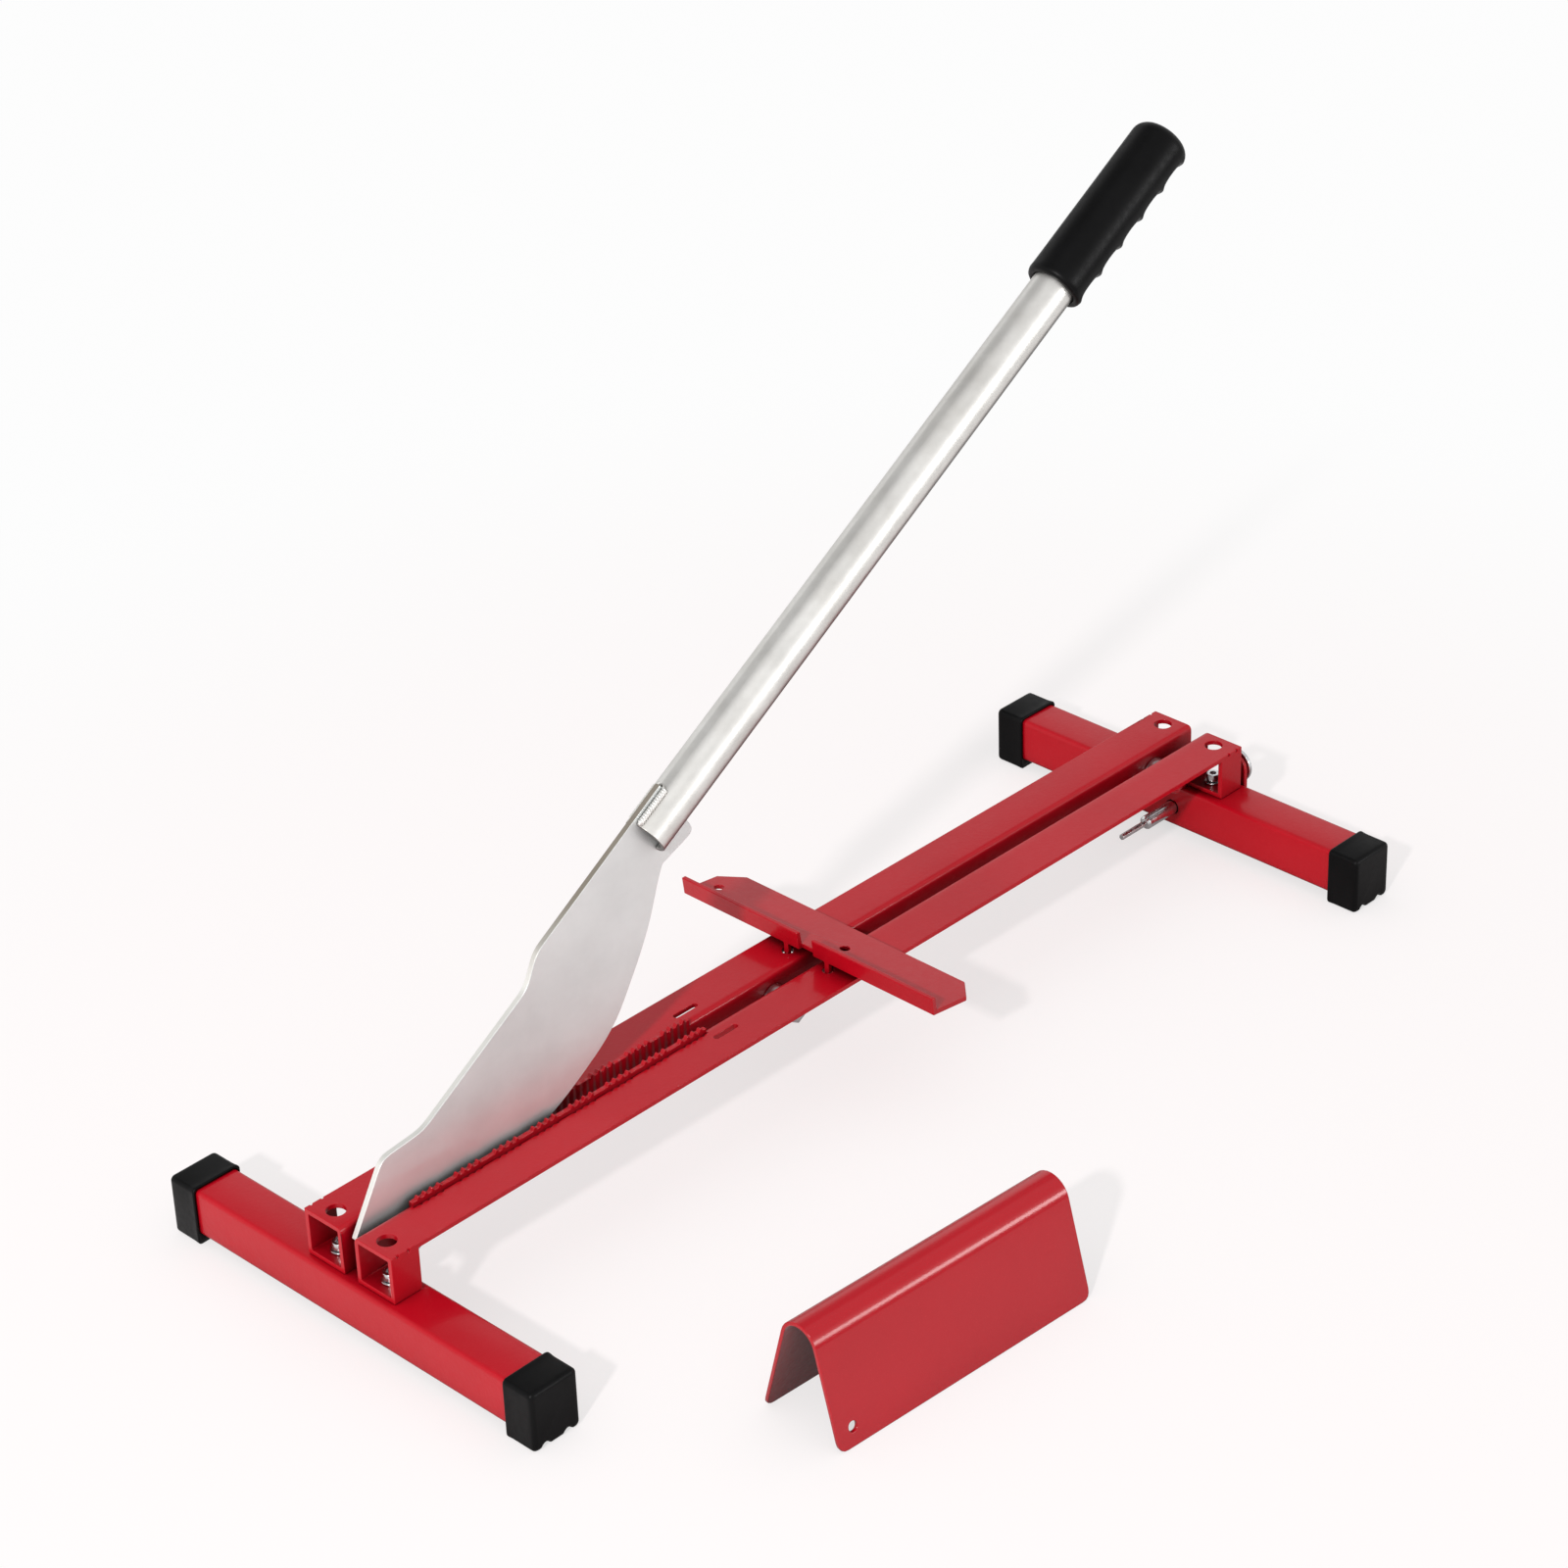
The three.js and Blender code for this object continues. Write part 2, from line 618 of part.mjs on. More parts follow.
function pivotSet() {
  const group = new THREE.Group();
  const inner = BLADE_THICKNESS / 2 + FIT_GAP;
  const outer = SLOT_HALF - FIT_GAP;
  group.position.set(PIVOT_PLACE, 0, PIVOT_HEIGHT);
  group.add(piece('pivot_bolt', crossBolt(), brightPlate()));
  group.add(piece('pivot_nut', crossNut(), brightPlate()));
  group.add(piece('pivot_rear_washer', sleeve(PIVOT_WASHER_SIZE, inner, outer), brightPlate()));
  group.add(piece('pivot_front_washer', sleeve(PIVOT_WASHER_SIZE, -outer, -inner), brightPlate()));
  return group;
}

// Cutting arm, drawn about its pivot

function bladePoint([lengthShare, heightShare]) {
  const x = lengthShare * BLADE_LENGTH - TIP_BEHIND_PIVOT;
  const y = heightShare * BLADE_HEIGHT + TIP_ABOVE_PIVOT;
  return new THREE.Vector2(x, y);
}

// A point beside the handle's axis: so far along the tube and so far above its axis.
function besideTube(along, above) {
  const offset = new THREE.Vector2(along, above).rotateAround(new THREE.Vector2(0, 0), TUBE_ANGLE);
  return bladePoint(TUBE_START_SHARES).add(offset);
}

// Adds a straight run to a corner and rounds the corner on the way to the next point.
function cornerTo(shape, corner, next, radius) {
  const from = shape.currentPoint.clone();
  const entry = from.sub(corner).setLength(radius).add(corner);
  const exit = next.clone().sub(corner).setLength(radius).add(corner);
  shape.lineTo(entry.x, entry.y);
  shape.quadraticCurveTo(corner.x, corner.y, exit.x, exit.y);
}

function bladeShape() {
  const tip = bladePoint([0, 0]);
  const back = BACK_EDGE_SHARES.map(bladePoint);
  const topCorner = besideTube(TANG_LAP, TANG_RISE);
  const tail = besideTube(TANG_LAP, -TANG_DROP);
  const tailFillet = bladePoint([TAIL_FILLET_SHARE, TAIL_FILLET_RISE_SHARE]);
  const edge = CUTTING_EDGE_SHARES.map(bladePoint);
  const shape = new THREE.Shape();
  shape.moveTo(tip.x + TIP_ROUND, tip.y);
  const backRun = [tip, ...back, topCorner];
  cornerTo(shape, tip, back[0], TIP_ROUND);
  for (let index = 1; index < backRun.length - 1; index += 1) {
    cornerTo(shape, backRun[index], backRun[index + 1], BACK_ROUND);
  }
  shape.lineTo(topCorner.x, topCorner.y);
  cornerTo(shape, tail, tailFillet, TAIL_ROUND);
  shape.lineTo(tailFillet.x, tailFillet.y);
  shape.splineThru(edge);
  const heelStart = new THREE.Vector2(HEEL_RADIUS, 0);
  shape.lineTo(heelStart.x, heelStart.y);
  shape.absarc(0, 0, HEEL_RADIUS, 0, Math.PI * 3 / 2 - Math.PI / 4, true);
  shape.closePath();
  return shape;
}

function blade() {
  const half = BLADE_THICKNESS / 2;
  return prismAlongY(bladeShape(), -half, half).subtract(barAlongY(BOLT_BORE, -half - OVERRUN, half + OVERRUN));
}

function handleTube() {
  const slotHalf = BLADE_THICKNESS / 2 + FIT_GAP;
  const bore = TUBE_SIZE - TUBE_WALL * 2;
  const slot = block([-OVERRUN, TANG_LAP + FIT_GAP], [-slotHalf, slotHalf], [-TUBE_SIZE, TUBE_SIZE]);
  return barAlongX(TUBE_SIZE, 0, TUBE_LENGTH, ROUND_SIDES)
    .subtract(barAlongX(bore, -OVERRUN, TUBE_LENGTH + OVERRUN, ROUND_SIDES))
    .subtract(slot);
}

// A fillet of weld in the corner between the tube and one face of the tang.
function weldBead() {
  const inner = BLADE_THICKNESS / 2 + FIT_GAP;
  const seat = TUBE_SIZE / 2 + FIT_GAP;
  const shape = new THREE.Shape();
  shape.moveTo(inner, seat);
  shape.lineTo(inner + WELD_LEG, seat);
  shape.quadraticCurveTo(inner + WELD_LEG / 2, seat + WELD_LEG / 2, inner, seat + WELD_LEG);
  shape.closePath();
  return prismAlongX(shape, 0, TANG_LAP);
}

function gripProfile() {
  const radius = GRIP_SIZE / 2;
  const bore = TUBE_SIZE / 2 + FIT_GAP;
  const boreEnd = GRIP_LENGTH - GRIP_END_WALL;
  const path = new THREE.Path();
  path.moveTo(0, boreEnd);
  path.lineTo(bore, boreEnd);
  path.lineTo(bore, 0);
  path.lineTo(GRIP_MOUTH_SIZE / 2, 0);
  path.quadraticCurveTo(GRIP_LIP_SIZE / 2, 0, GRIP_LIP_SIZE / 2, GRIP_LIP_LENGTH / 2);
  path.lineTo(radius, GRIP_LIP_LENGTH);
  path.lineTo(radius, GRIP_LENGTH - GRIP_ROUND);
  path.bezierCurveTo(
    radius, GRIP_LENGTH - GRIP_ROUND / 2,
    radius - GRIP_ROUND / 2, GRIP_LENGTH,
    radius - GRIP_ROUND, GRIP_LENGTH,
  );
  path.lineTo(0, GRIP_LENGTH);
  return path.getPoints(CORNER_STEPS);
}

// The finger grooves are shallow cylinders across the underside of the grip.
function handleGrip() {
  const geometry = new THREE.LatheGeometry(gripProfile(), ROUND_SIDES);
  geometry.rotateZ(-Math.PI / 2);
  const halfWidth = FINGER_WIDTH / 2;
  const cutRadius = (halfWidth * halfWidth + FINGER_DEPTH * FINGER_DEPTH) / (FINGER_DEPTH * 2);
  let body = solid(geometry);
  for (let finger = 0; finger < FINGER_COUNT; finger += 1) {
    const cutter = barAlongY(cutRadius * 2, -GRIP_SIZE, GRIP_SIZE, ROUND_SIDES);
    const place = FINGER_FIRST + finger * FINGER_PITCH;
    body = body.subtract(cutter.translate([place, 0, FINGER_DEPTH - GRIP_SIZE / 2 - cutRadius]));
  }
  return body;
}

function handle() {
  const group = new THREE.Group();
  const start = besideTube(0, 0);
  group.position.set(start.x, 0, start.y);
  group.rotation.y = -TUBE_ANGLE;
  group.add(piece('handle_tube', handleTube(), blankSteel()));
  group.add(piece('rear_weld', weldBead(), blankSteel()));
  group.add(piece('front_weld', weldBead().mirror([0, 1, 0]), blankSteel()));
  const grip = piece('handle_grip', handleGrip(), blackPlastic());
  grip.position.x = GRIP_START;
  group.add(grip);
  return group;
}

function cuttingArm() {
  const group = new THREE.Group();
  group.position.set(PIVOT_PLACE, 0, PIVOT_HEIGHT);
  group.add(piece('blade', blade(), blankSteel()));
  group.add(handle());
  return group;
}

// Fence, drawn about the lower front edge of its flange

function fenceSection() {
  const drop = FENCE_STAND - FIT_GAP;
  const shape = new THREE.Shape();
  shape.moveTo(0, 0);
  shape.lineTo(FENCE_DEPTH, -drop);
  shape.lineTo(FENCE_DEPTH, FENCE_SHEET - drop);
  shape.lineTo(FENCE_SHEET, FENCE_SHEET - drop * FENCE_SHEET / FENCE_DEPTH);
  shape.lineTo(FENCE_SHEET - FENCE_LEAN, FENCE_HEIGHT);
  shape.lineTo(-FENCE_LEAN, FENCE_HEIGHT);
  shape.closePath();
  return shape;
}

function fencePlan() {
  const half = FENCE_LENGTH / 2;
  const back = FENCE_DEPTH + FENCE_SHEET;
  const start = FENCE_DEPTH - FENCE_CORNER;
  return [-1, 1].map((side) => {
    const shape = new THREE.Shape();
    shape.moveTo(start, side * half);
    shape.lineTo(FENCE_DEPTH, side * (half - FENCE_CORNER));
    shape.lineTo(back, side * (half - FENCE_CORNER));
    shape.lineTo(back, side * (half + OVERRUN));
    shape.lineTo(start, side * (half + OVERRUN));
    shape.closePath();
    return prismAlongZ(shape, -FENCE_HEIGHT, FENCE_HEIGHT);
  });
}

function fenceLug(side) {
  const root = LUG_ROOT_WIDTH / 2;
  const half = LUG_WIDTH / 2;
  const middle = side * PIN_SPREAD / 2;
  const bottom = -FENCE_STAND - LUG_REACH;
  const shape = new THREE.Shape();
  shape.moveTo(middle - root, FENCE_SHEET / 2);
  shape.lineTo(middle - root, 0);
  shape.quadraticCurveTo(middle - half, 0, middle - half, half - root);
  shape.lineTo(middle - half, bottom);
  shape.lineTo(middle + half, bottom);
  shape.lineTo(middle + half, half - root);
  shape.quadraticCurveTo(middle + half, 0, middle + root, 0);
  shape.lineTo(middle + root, FENCE_SHEET / 2);
  shape.closePath();
  return prismAlongX(shape, 0, FENCE_SHEET);
}

function fence() {
  const half = FENCE_LENGTH / 2;
  const gap = block(
    [-FENCE_LEAN - OVERRUN, FENCE_SHEET],
    [-FENCE_GAP / 2, FENCE_GAP / 2],
    [-OVERRUN, FENCE_HEIGHT + OVERRUN],
  );
  const holes = FENCE_HOLE_SHARES.map((share) => {
    const hole = barAlongZ(FENCE_HOLE, -FENCE_STAND, FENCE_HEIGHT);
    return hole.translate([FENCE_HOLE_SETBACK, share * half, 0]);
  });
  const sheet = prismAlongY(fenceSection(), -half, half).add(fenceLug(1)).add(fenceLug(-1));
  return [gap, ...holes, ...fencePlan()].reduce((body, cut) => body.subtract(cut), sheet);
}

function fenceGroup() {
  const group = new THREE.Group();
  group.position.set(FENCE_PLACE, 0, RAIL_TOP + FENCE_STAND);
  group.add(piece('fence', fence(), redPowderCoat()));
  return group;
}

// Stored key and keeper, drawn about the middle of the far foot

function socketKey() {
  const face = FOOT_SIZE / 2;
  const radius = KEY_SIZE / 2;
  const step = -face - KEY_REACH;
  const headStart = face + FIT_GAP;
  const profile = [
    [0, step],
    [radius - KEY_CHAMFER, step],
    [radius, step + KEY_CHAMFER],
    [radius, headStart],
    [KEY_HEAD_SIZE / 2, headStart],
    [KEY_HEAD_SIZE / 2, headStart + KEY_HEAD_LENGTH],
    [0, headStart + KEY_HEAD_LENGTH],
  ].map(([x, y]) => new THREE.Vector2(x, y));
  const geometry = new THREE.LatheGeometry(profile, HOLE_SIDES);
  geometry.rotateZ(-Math.PI / 2);
  return solid(geometry).add(barAlongX(hexSize(KEY_TIP_ACROSS), step - KEY_TIP_LENGTH, -face, 6));
}

function keeperLug() {
  const shape = new THREE.Shape();
  const centre = FOOT_TOP + KEEPER_RISE;
  shape.moveTo(KEEPER_RADIUS, FOOT_TOP - KEEPER_LAP);
  shape.lineTo(KEEPER_RADIUS, centre);
  shape.absarc(0, centre, KEEPER_RADIUS, 0, Math.PI, false);
  shape.lineTo(-KEEPER_RADIUS, FOOT_TOP - KEEPER_LAP);
  shape.closePath();
  const hole = barAlongX(KEEPER_SCREW_SIZE + FIT_GAP * 2, -OVERRUN, KEEPER_SHEET + OVERRUN);
  return prismAlongX(shape, 0, KEEPER_SHEET).subtract(hole.translate([0, 0, centre]));
}

function keeperScrew() {
  const head = KEEPER_SHEET + FIT_GAP;
  return barAlongX(KEEPER_SCREW_SIZE, -KEEPER_SHEET, head + KEEPER_HEAD_HEIGHT / 2)
    .add(barAlongX(KEEPER_HEAD_SIZE, head, head + KEEPER_HEAD_HEIGHT, ROUND_SIDES));
}

function storage() {
  const group = new THREE.Group();
  group.position.x = FAR_FOOT_PLACE;
  const key = piece('socket_key', socketKey(), brightPlate());
  key.position.z = FOOT_MIDDLE - KEY_DROP;
  const keeper = new THREE.Group();
  keeper.position.set(FOOT_SIZE / 2 + FIT_GAP, -KEEPER_OFFSET, 0);
  keeper.add(piece('keeper_lug', keeperLug(), redPowderCoat()));
  const screw = piece('keeper_screw', keeperScrew(), brightPlate());
  screw.position.z = FOOT_TOP + KEEPER_RISE;
  keeper.add(screw);
  group.add(key, keeper);
  return group;
}

// Plank support: a folded sheet with a round crest, drawn from its near front corner

// The outer or inner line of the tent's section, set in from the outside by an offset.
function supportLine(offset) {
  const half = SUPPORT_SPREAD / 2;
  const radius = SUPPORT_CREST - offset;
  const centre = SUPPORT_HEIGHT - SUPPORT_CREST;
  const lean = supportLean();
  const foot = half - offset / Math.cos(lean);
  const right = new THREE.Vector2(half + foot, 0);
  const left = new THREE.Vector2(half - foot, 0);
  const arc = [];
  for (let step = 0; step <= CURVE_STEPS; step += 1) {
    const angle = lean + (Math.PI - lean * 2) * step / CURVE_STEPS;
    const x = half + radius * Math.cos(angle);
    arc.push(new THREE.Vector2(x, centre + radius * Math.sin(angle)));
  }
  return [right, ...arc, left];
}

// The legs' lean off the vertical that makes them tangent to the crest.
function supportLean() {
  const half = SUPPORT_SPREAD / 2;
  const centre = SUPPORT_HEIGHT - SUPPORT_CREST;
  const reach = Math.hypot(half, centre);
  return Math.atan2(half, centre) - Math.asin(SUPPORT_CREST / reach);
}

function supportCornerCut() {
  const shape = new THREE.Shape();
  shape.moveTo(-OVERRUN, -OVERRUN);
  shape.lineTo(SUPPORT_CORNER, -OVERRUN);
  shape.lineTo(SUPPORT_CORNER, 0);
  shape.quadraticCurveTo(0, 0, 0, SUPPORT_CORNER);
  shape.lineTo(-OVERRUN, SUPPORT_CORNER);
  shape.closePath();
  return prismAlongY(shape, -OVERRUN, SUPPORT_SPREAD + OVERRUN);
}

function plankSupport() {
  const outline = new THREE.Shape([...supportLine(0), ...supportLine(SUPPORT_SHEET).reverse()]);
  const hole = barAlongY(SUPPORT_HOLE, -OVERRUN, SUPPORT_SPREAD / 2)
    .translate([SUPPORT_HOLE_INSET, 0, SUPPORT_HOLE_RISE]);
  const corner = supportCornerCut();
  return prismAlongX(outline, 0, SUPPORT_LENGTH)
    .subtract(hole)
    .subtract(corner)
    .subtract(corner.mirror([1, 0, 0]).translate([SUPPORT_LENGTH, 0, 0]));
}

function supportGroup() {
  const group = new THREE.Group();
  group.position.set(SUPPORT_START, -SUPPORT_STANDOFF, 0);
  group.rotation.z = SUPPORT_YAW;
  group.add(piece('plank_support', plankSupport(), redPowderCoat()));
  return group;
}

// The whole cutter, with its origin on the floor under the middle of its extent

function cutter() {
  const rear = rail();
  const group = new THREE.Group();
  group.add(foot(NEAR_FOOT_PLACE, 'near', footScrewHoles()));
  group.add(foot(FAR_FOOT_PLACE, 'far', [...footScrewHoles(), keyHole()]));
  group.add(piece('rear_rail', rear, redPowderCoat()));
  group.add(piece('front_rail', rear.mirror([0, 1, 0]), redPowderCoat()));
  group.add(footFasteners());
  group.add(spacerSet('mid', MID_SPACER_PLACE));
  group.add(spacerSet('far', FAR_SPACER_PLACE));
  group.add(pivotSet());
  group.add(cuttingArm());
  group.add(fenceGroup());
  group.add(storage());
  group.add(supportGroup());
  return group;
}

const model = cutter();
model.updateMatrixWorld(true);
const extent = new THREE.Box3().setFromObject(model, true);
const middle = extent.getCenter(new THREE.Vector3());
model.position.set(-middle.x, -middle.y, -extent.min.z);
model.updateMatrixWorld(true);

export default model;
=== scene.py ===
import json
import math

import bmesh
import bpy
from mathutils import Matrix, Vector

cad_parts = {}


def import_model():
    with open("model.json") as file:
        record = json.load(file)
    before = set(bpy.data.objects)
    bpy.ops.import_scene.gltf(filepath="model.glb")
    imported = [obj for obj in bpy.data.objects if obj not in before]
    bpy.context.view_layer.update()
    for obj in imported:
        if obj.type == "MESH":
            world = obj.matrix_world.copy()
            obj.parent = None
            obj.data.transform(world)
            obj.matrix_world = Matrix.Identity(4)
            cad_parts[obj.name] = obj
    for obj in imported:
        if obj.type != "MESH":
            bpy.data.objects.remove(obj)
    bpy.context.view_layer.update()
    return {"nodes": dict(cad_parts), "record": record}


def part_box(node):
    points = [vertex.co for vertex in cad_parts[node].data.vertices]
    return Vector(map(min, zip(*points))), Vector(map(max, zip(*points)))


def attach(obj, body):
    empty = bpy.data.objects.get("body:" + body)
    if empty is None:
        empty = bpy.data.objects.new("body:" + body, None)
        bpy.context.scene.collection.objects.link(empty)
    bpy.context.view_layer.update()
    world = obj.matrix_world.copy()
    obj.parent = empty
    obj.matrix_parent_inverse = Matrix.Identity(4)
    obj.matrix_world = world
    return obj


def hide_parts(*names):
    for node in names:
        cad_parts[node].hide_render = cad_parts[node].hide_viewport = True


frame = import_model()

MM = 0.001
FULL_TURN = 2 * math.pi
QUARTER_TURN = math.pi / 2

# The part's own axes, in millimetres: X from the rails' near end, Y from the middle of
# the slot, Z from the floor. ORIGIN is where they start in the row frame, in metres.
TEETH_ABOVE_RAIL = 3.3
RAIL_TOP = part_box("rear_rail")[1].z / MM - TEETH_ABOVE_RAIL
SLOT_Y = (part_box("front_rail")[0].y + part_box("rear_rail")[1].y) / 2
ORIGIN = Vector((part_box("rear_rail")[0].x, SLOT_Y, 0))

# The handle's axis, and the grip along it
TUBE_ANGLE = math.radians(31.65)
TUBE_START_X = 194.65
TUBE_START_RISE = 118.1
TUBE_START = Vector((TUBE_START_X, 0, RAIL_TOP + TUBE_START_RISE))
TUBE_RADIUS = 11
TANG_LAP = 20.8
GRIP_START = 336.8
GRIP_LENGTH = 97.9

# The toothed strips along the slot
TOOTH_PITCH = 4.3
SLOT_HALF = 6
STRIP_DEPTH = 18
STRIP_START = 33
STRIP_END = 221


def at(x, y, z):
    """A point in the part's millimetres, as a place in the row frame."""
    return ORIGIN + Vector((x, y, z)) * MM


def beside_tube(along, across, above):
    """A point beside the handle: along its axis, across it in Y, and above it."""
    x = TUBE_START.x + along * math.cos(TUBE_ANGLE) - above * math.sin(TUBE_ANGLE)
    z = TUBE_START.z + along * math.sin(TUBE_ANGLE) + above * math.cos(TUBE_ANGLE)
    return at(x, across, z)


# Node helpers

# A noise's values lie mostly between these two
NOISE_SPAN = (0.3, 0.7)

# Open faces have more than the second share of their sky free, deep folds less than the first; this
# sets the shade painted into folds and corners
SKY_SPAN = (0.12, 0.62)
SKY_SAMPLES = 6


def new_material(name):
    material = bpy.data.materials.new(name)
    material.use_nodes = True
    tree = material.node_tree
    return material, tree, tree.nodes["Principled BSDF"]


def coordinates(tree, stretch=(1, 1, 1), turn=(0, 0, 0)):
    place = tree.nodes.new("ShaderNodeTexCoord")
    mapping = tree.nodes.new("ShaderNodeMapping")
    mapping.inputs["Scale"].default_value = stretch
    mapping.inputs["Rotation"].default_value = turn
    tree.links.new(place.outputs["Object"], mapping.inputs["Vector"])
    return mapping.outputs["Vector"]


def split(tree, vector):
    axes = tree.nodes.new("ShaderNodeSeparateXYZ")
    tree.links.new(vector, axes.inputs["Vector"])
    return axes.outputs


def object_axes(tree):
    return split(tree, tree.nodes.new("ShaderNodeTexCoord").outputs["Object"])


def normal_axes(tree):
    return split(tree, tree.nodes.new("ShaderNodeNewGeometry").outputs["Normal"])


def noise(tree, vector, scale, detail=3.0, roughness=0.5):
    node = tree.nodes.new("ShaderNodeTexNoise")
    node.inputs["Scale"].default_value = scale
    node.inputs["Detail"].default_value = detail
    node.inputs["Roughness"].default_value = roughness
    tree.links.new(vector, node.inputs["Vector"])
    return node.outputs["Fac"]


def ramp(tree, factor, *stops):
    """Goes between two colours, each given with the factor at which it is full."""
    node = tree.nodes.new("ShaderNodeValToRGB")
    for element, (place, colour) in zip(node.color_ramp.elements, stops):
        element.position = place
        element.color = (*colour, 1)
    tree.links.new(factor, node.inputs["Fac"])
    return node.outputs["Color"]


def map_range(tree, value, limits, result, interpolation):
    node = tree.nodes.new("ShaderNodeMapRange")
    node.interpolation_type = interpolation
    names = ("From Min", "From Max", "To Min", "To Max")
    for name, number in zip(names, (*limits, *result)):
        node.inputs[name].default_value = number
    tree.links.new(value, node.inputs["Value"])
    return node.outputs["Result"]


def spread(tree, pattern, low, high):
    """Turns a noise into a value between low and high."""
    return map_range(tree, pattern, NOISE_SPAN, (low, high), "LINEAR")


def fade(tree, value, limits, result=(0.0, 1.0)):
    """Goes smoothly through the result's span while the value goes through the limits."""
    return map_range(tree, value, limits, result, "SMOOTHSTEP")


def maths(tree, operation, first, second=0.0):
    node = tree.nodes.new("ShaderNodeMath")
    node.operation = operation
    for socket, value in zip(node.inputs, (first, second)):
        if isinstance(value, (int, float)):
            socket.default_value = value
        else:
            tree.links.new(value, socket)
    return node.outputs["Value"]


def product(tree, first, *others):
    for other in others:
        first = maths(tree, "MULTIPLY", first, other)
    return first


def largest(tree, first, *others):
    for other in others:
        first = maths(tree, "MAXIMUM", first, other)
    return first


def distance(tree, value, middle):
    return maths(tree, "ABSOLUTE", maths(tree, "SUBTRACT", value, middle))


def blend_colours(tree, factor, first, second):
    node = tree.nodes.new("ShaderNodeMix")
    node.data_type = "RGBA"
    sockets = [socket for socket in node.inputs if socket.type == "RGBA"]
    tree.links.new(factor, node.inputs["Factor"])
    for socket, value in zip(sockets, (first, second)):
        if isinstance(value, tuple):
            socket.default_value = (*value, 1)
        else:
            tree.links.new(value, socket)
    return [socket for socket in node.outputs if socket.type == "RGBA"][0]


def choose(tree, factor, first, second):
    """The first value where the factor is 0, and the second where it is 1."""
    node = tree.nodes.new("ShaderNodeMix")
    node.data_type = "FLOAT"
    tree.links.new(factor, node.inputs["Factor"])
    for socket, value in zip((node.inputs["A"], node.inputs["B"]), (first, second)):
        if isinstance(value, float):
            socket.default_value = value
        else:
            tree.links.new(value, socket)
    return node.outputs["Result"]


def painted_crevice_shade(tree, reach, deepest):
    """1 in the open, falling to the deepest value in slots, folds and corners: a share of painted shade
    there.
    """
    node = tree.nodes.new("ShaderNodeAmbientOcclusion")
    node.samples = SKY_SAMPLES
    node.inputs["Distance"].default_value = reach
    return map_range(tree, node.outputs["AO"], SKY_SPAN, (deepest, 1.0), "LINEAR")


def shaded(tree, colour, share):
    """A colour dimmed by a share from 0 to 1, which paints shade into it."""
    return blend_colours(tree, share, (0.0, 0.0, 0.0), colour)


def bump(tree, height, strength, depth, below=None):
    node = tree.nodes.new("ShaderNodeBump")
    node.inputs["Strength"].default_value = strength
    node.inputs["Distance"].default_value = depth
    tree.links.new(height, node.inputs["Height"])
    if below is not None:
        tree.links.new(below, node.inputs["Normal"])
    return node.outputs["Normal"]


# Materials. Colours are linear, noise scales are per metre, reaches and depths in metres.

RED_DEEP = (0.42, 0.0014, 0.0088)
RED_PALE = (0.47, 0.0021, 0.0112)
RED_FLECK = (0.53, 0.010, 0.018)
FLECK_SPAN = (0.62, 0.78)
BLACK_DEEP = (0.0018, 0.0018, 0.0020)
BLACK_PALE = (0.0034, 0.0034, 0.0037)
PLATE_DEEP = (0.56, 0.57, 0.58)
PLATE_PALE = (0.72, 0.73, 0.74)
BEAD_DEEP = (0.66, 0.65, 0.62)
BEAD_PALE = (0.80, 0.79, 0.77)

# The noise values at which zinc has its two tints, and the reach of its corners' shade
ZINC_SPAN = (0.32, 0.68)
ZINC_REACH = 0.012

# The blade's ground edges: the most that a normal leans to Y on them, and the heights,
# in metres, between which the metal goes from light to dark brown
EDGE_LEAN = 0.6
EDGE_TINT_HEIGHTS = (0.13, 0.165)

# The values of a normal's Z between which an underside's shade goes from deepest to none
UNDERSIDE_SPAN = (-0.42, -0.10)


def two_tints(tree, pattern, deep, pale, span=NOISE_SPAN):
    return ramp(tree, pattern, (span[0], deep), (span[1], pale))


def flutes(tree):
    """Upright ripples on the faces of the toothed strips that look into the slot."""
    axes = object_axes(tree)
    wave = maths(tree, "SINE", maths(tree, "MULTIPLY", axes["X"], FULL_TURN / (TOOTH_PITCH * MM)))
    in_slot = maths(tree, "LESS_THAN", distance(tree, axes["Y"], SLOT_Y), SLOT_HALF * MM)
    on_strip = maths(tree, "GREATER_THAN", axes["Z"], (RAIL_TOP - STRIP_DEPTH) * MM)
    begun = maths(tree, "GREATER_THAN", axes["X"], ORIGIN.x + STRIP_START * MM)
    ended = maths(tree, "LESS_THAN", axes["X"], ORIGIN.x + STRIP_END * MM)
    return product(tree, wave, in_slot, on_strip, begun, ended)


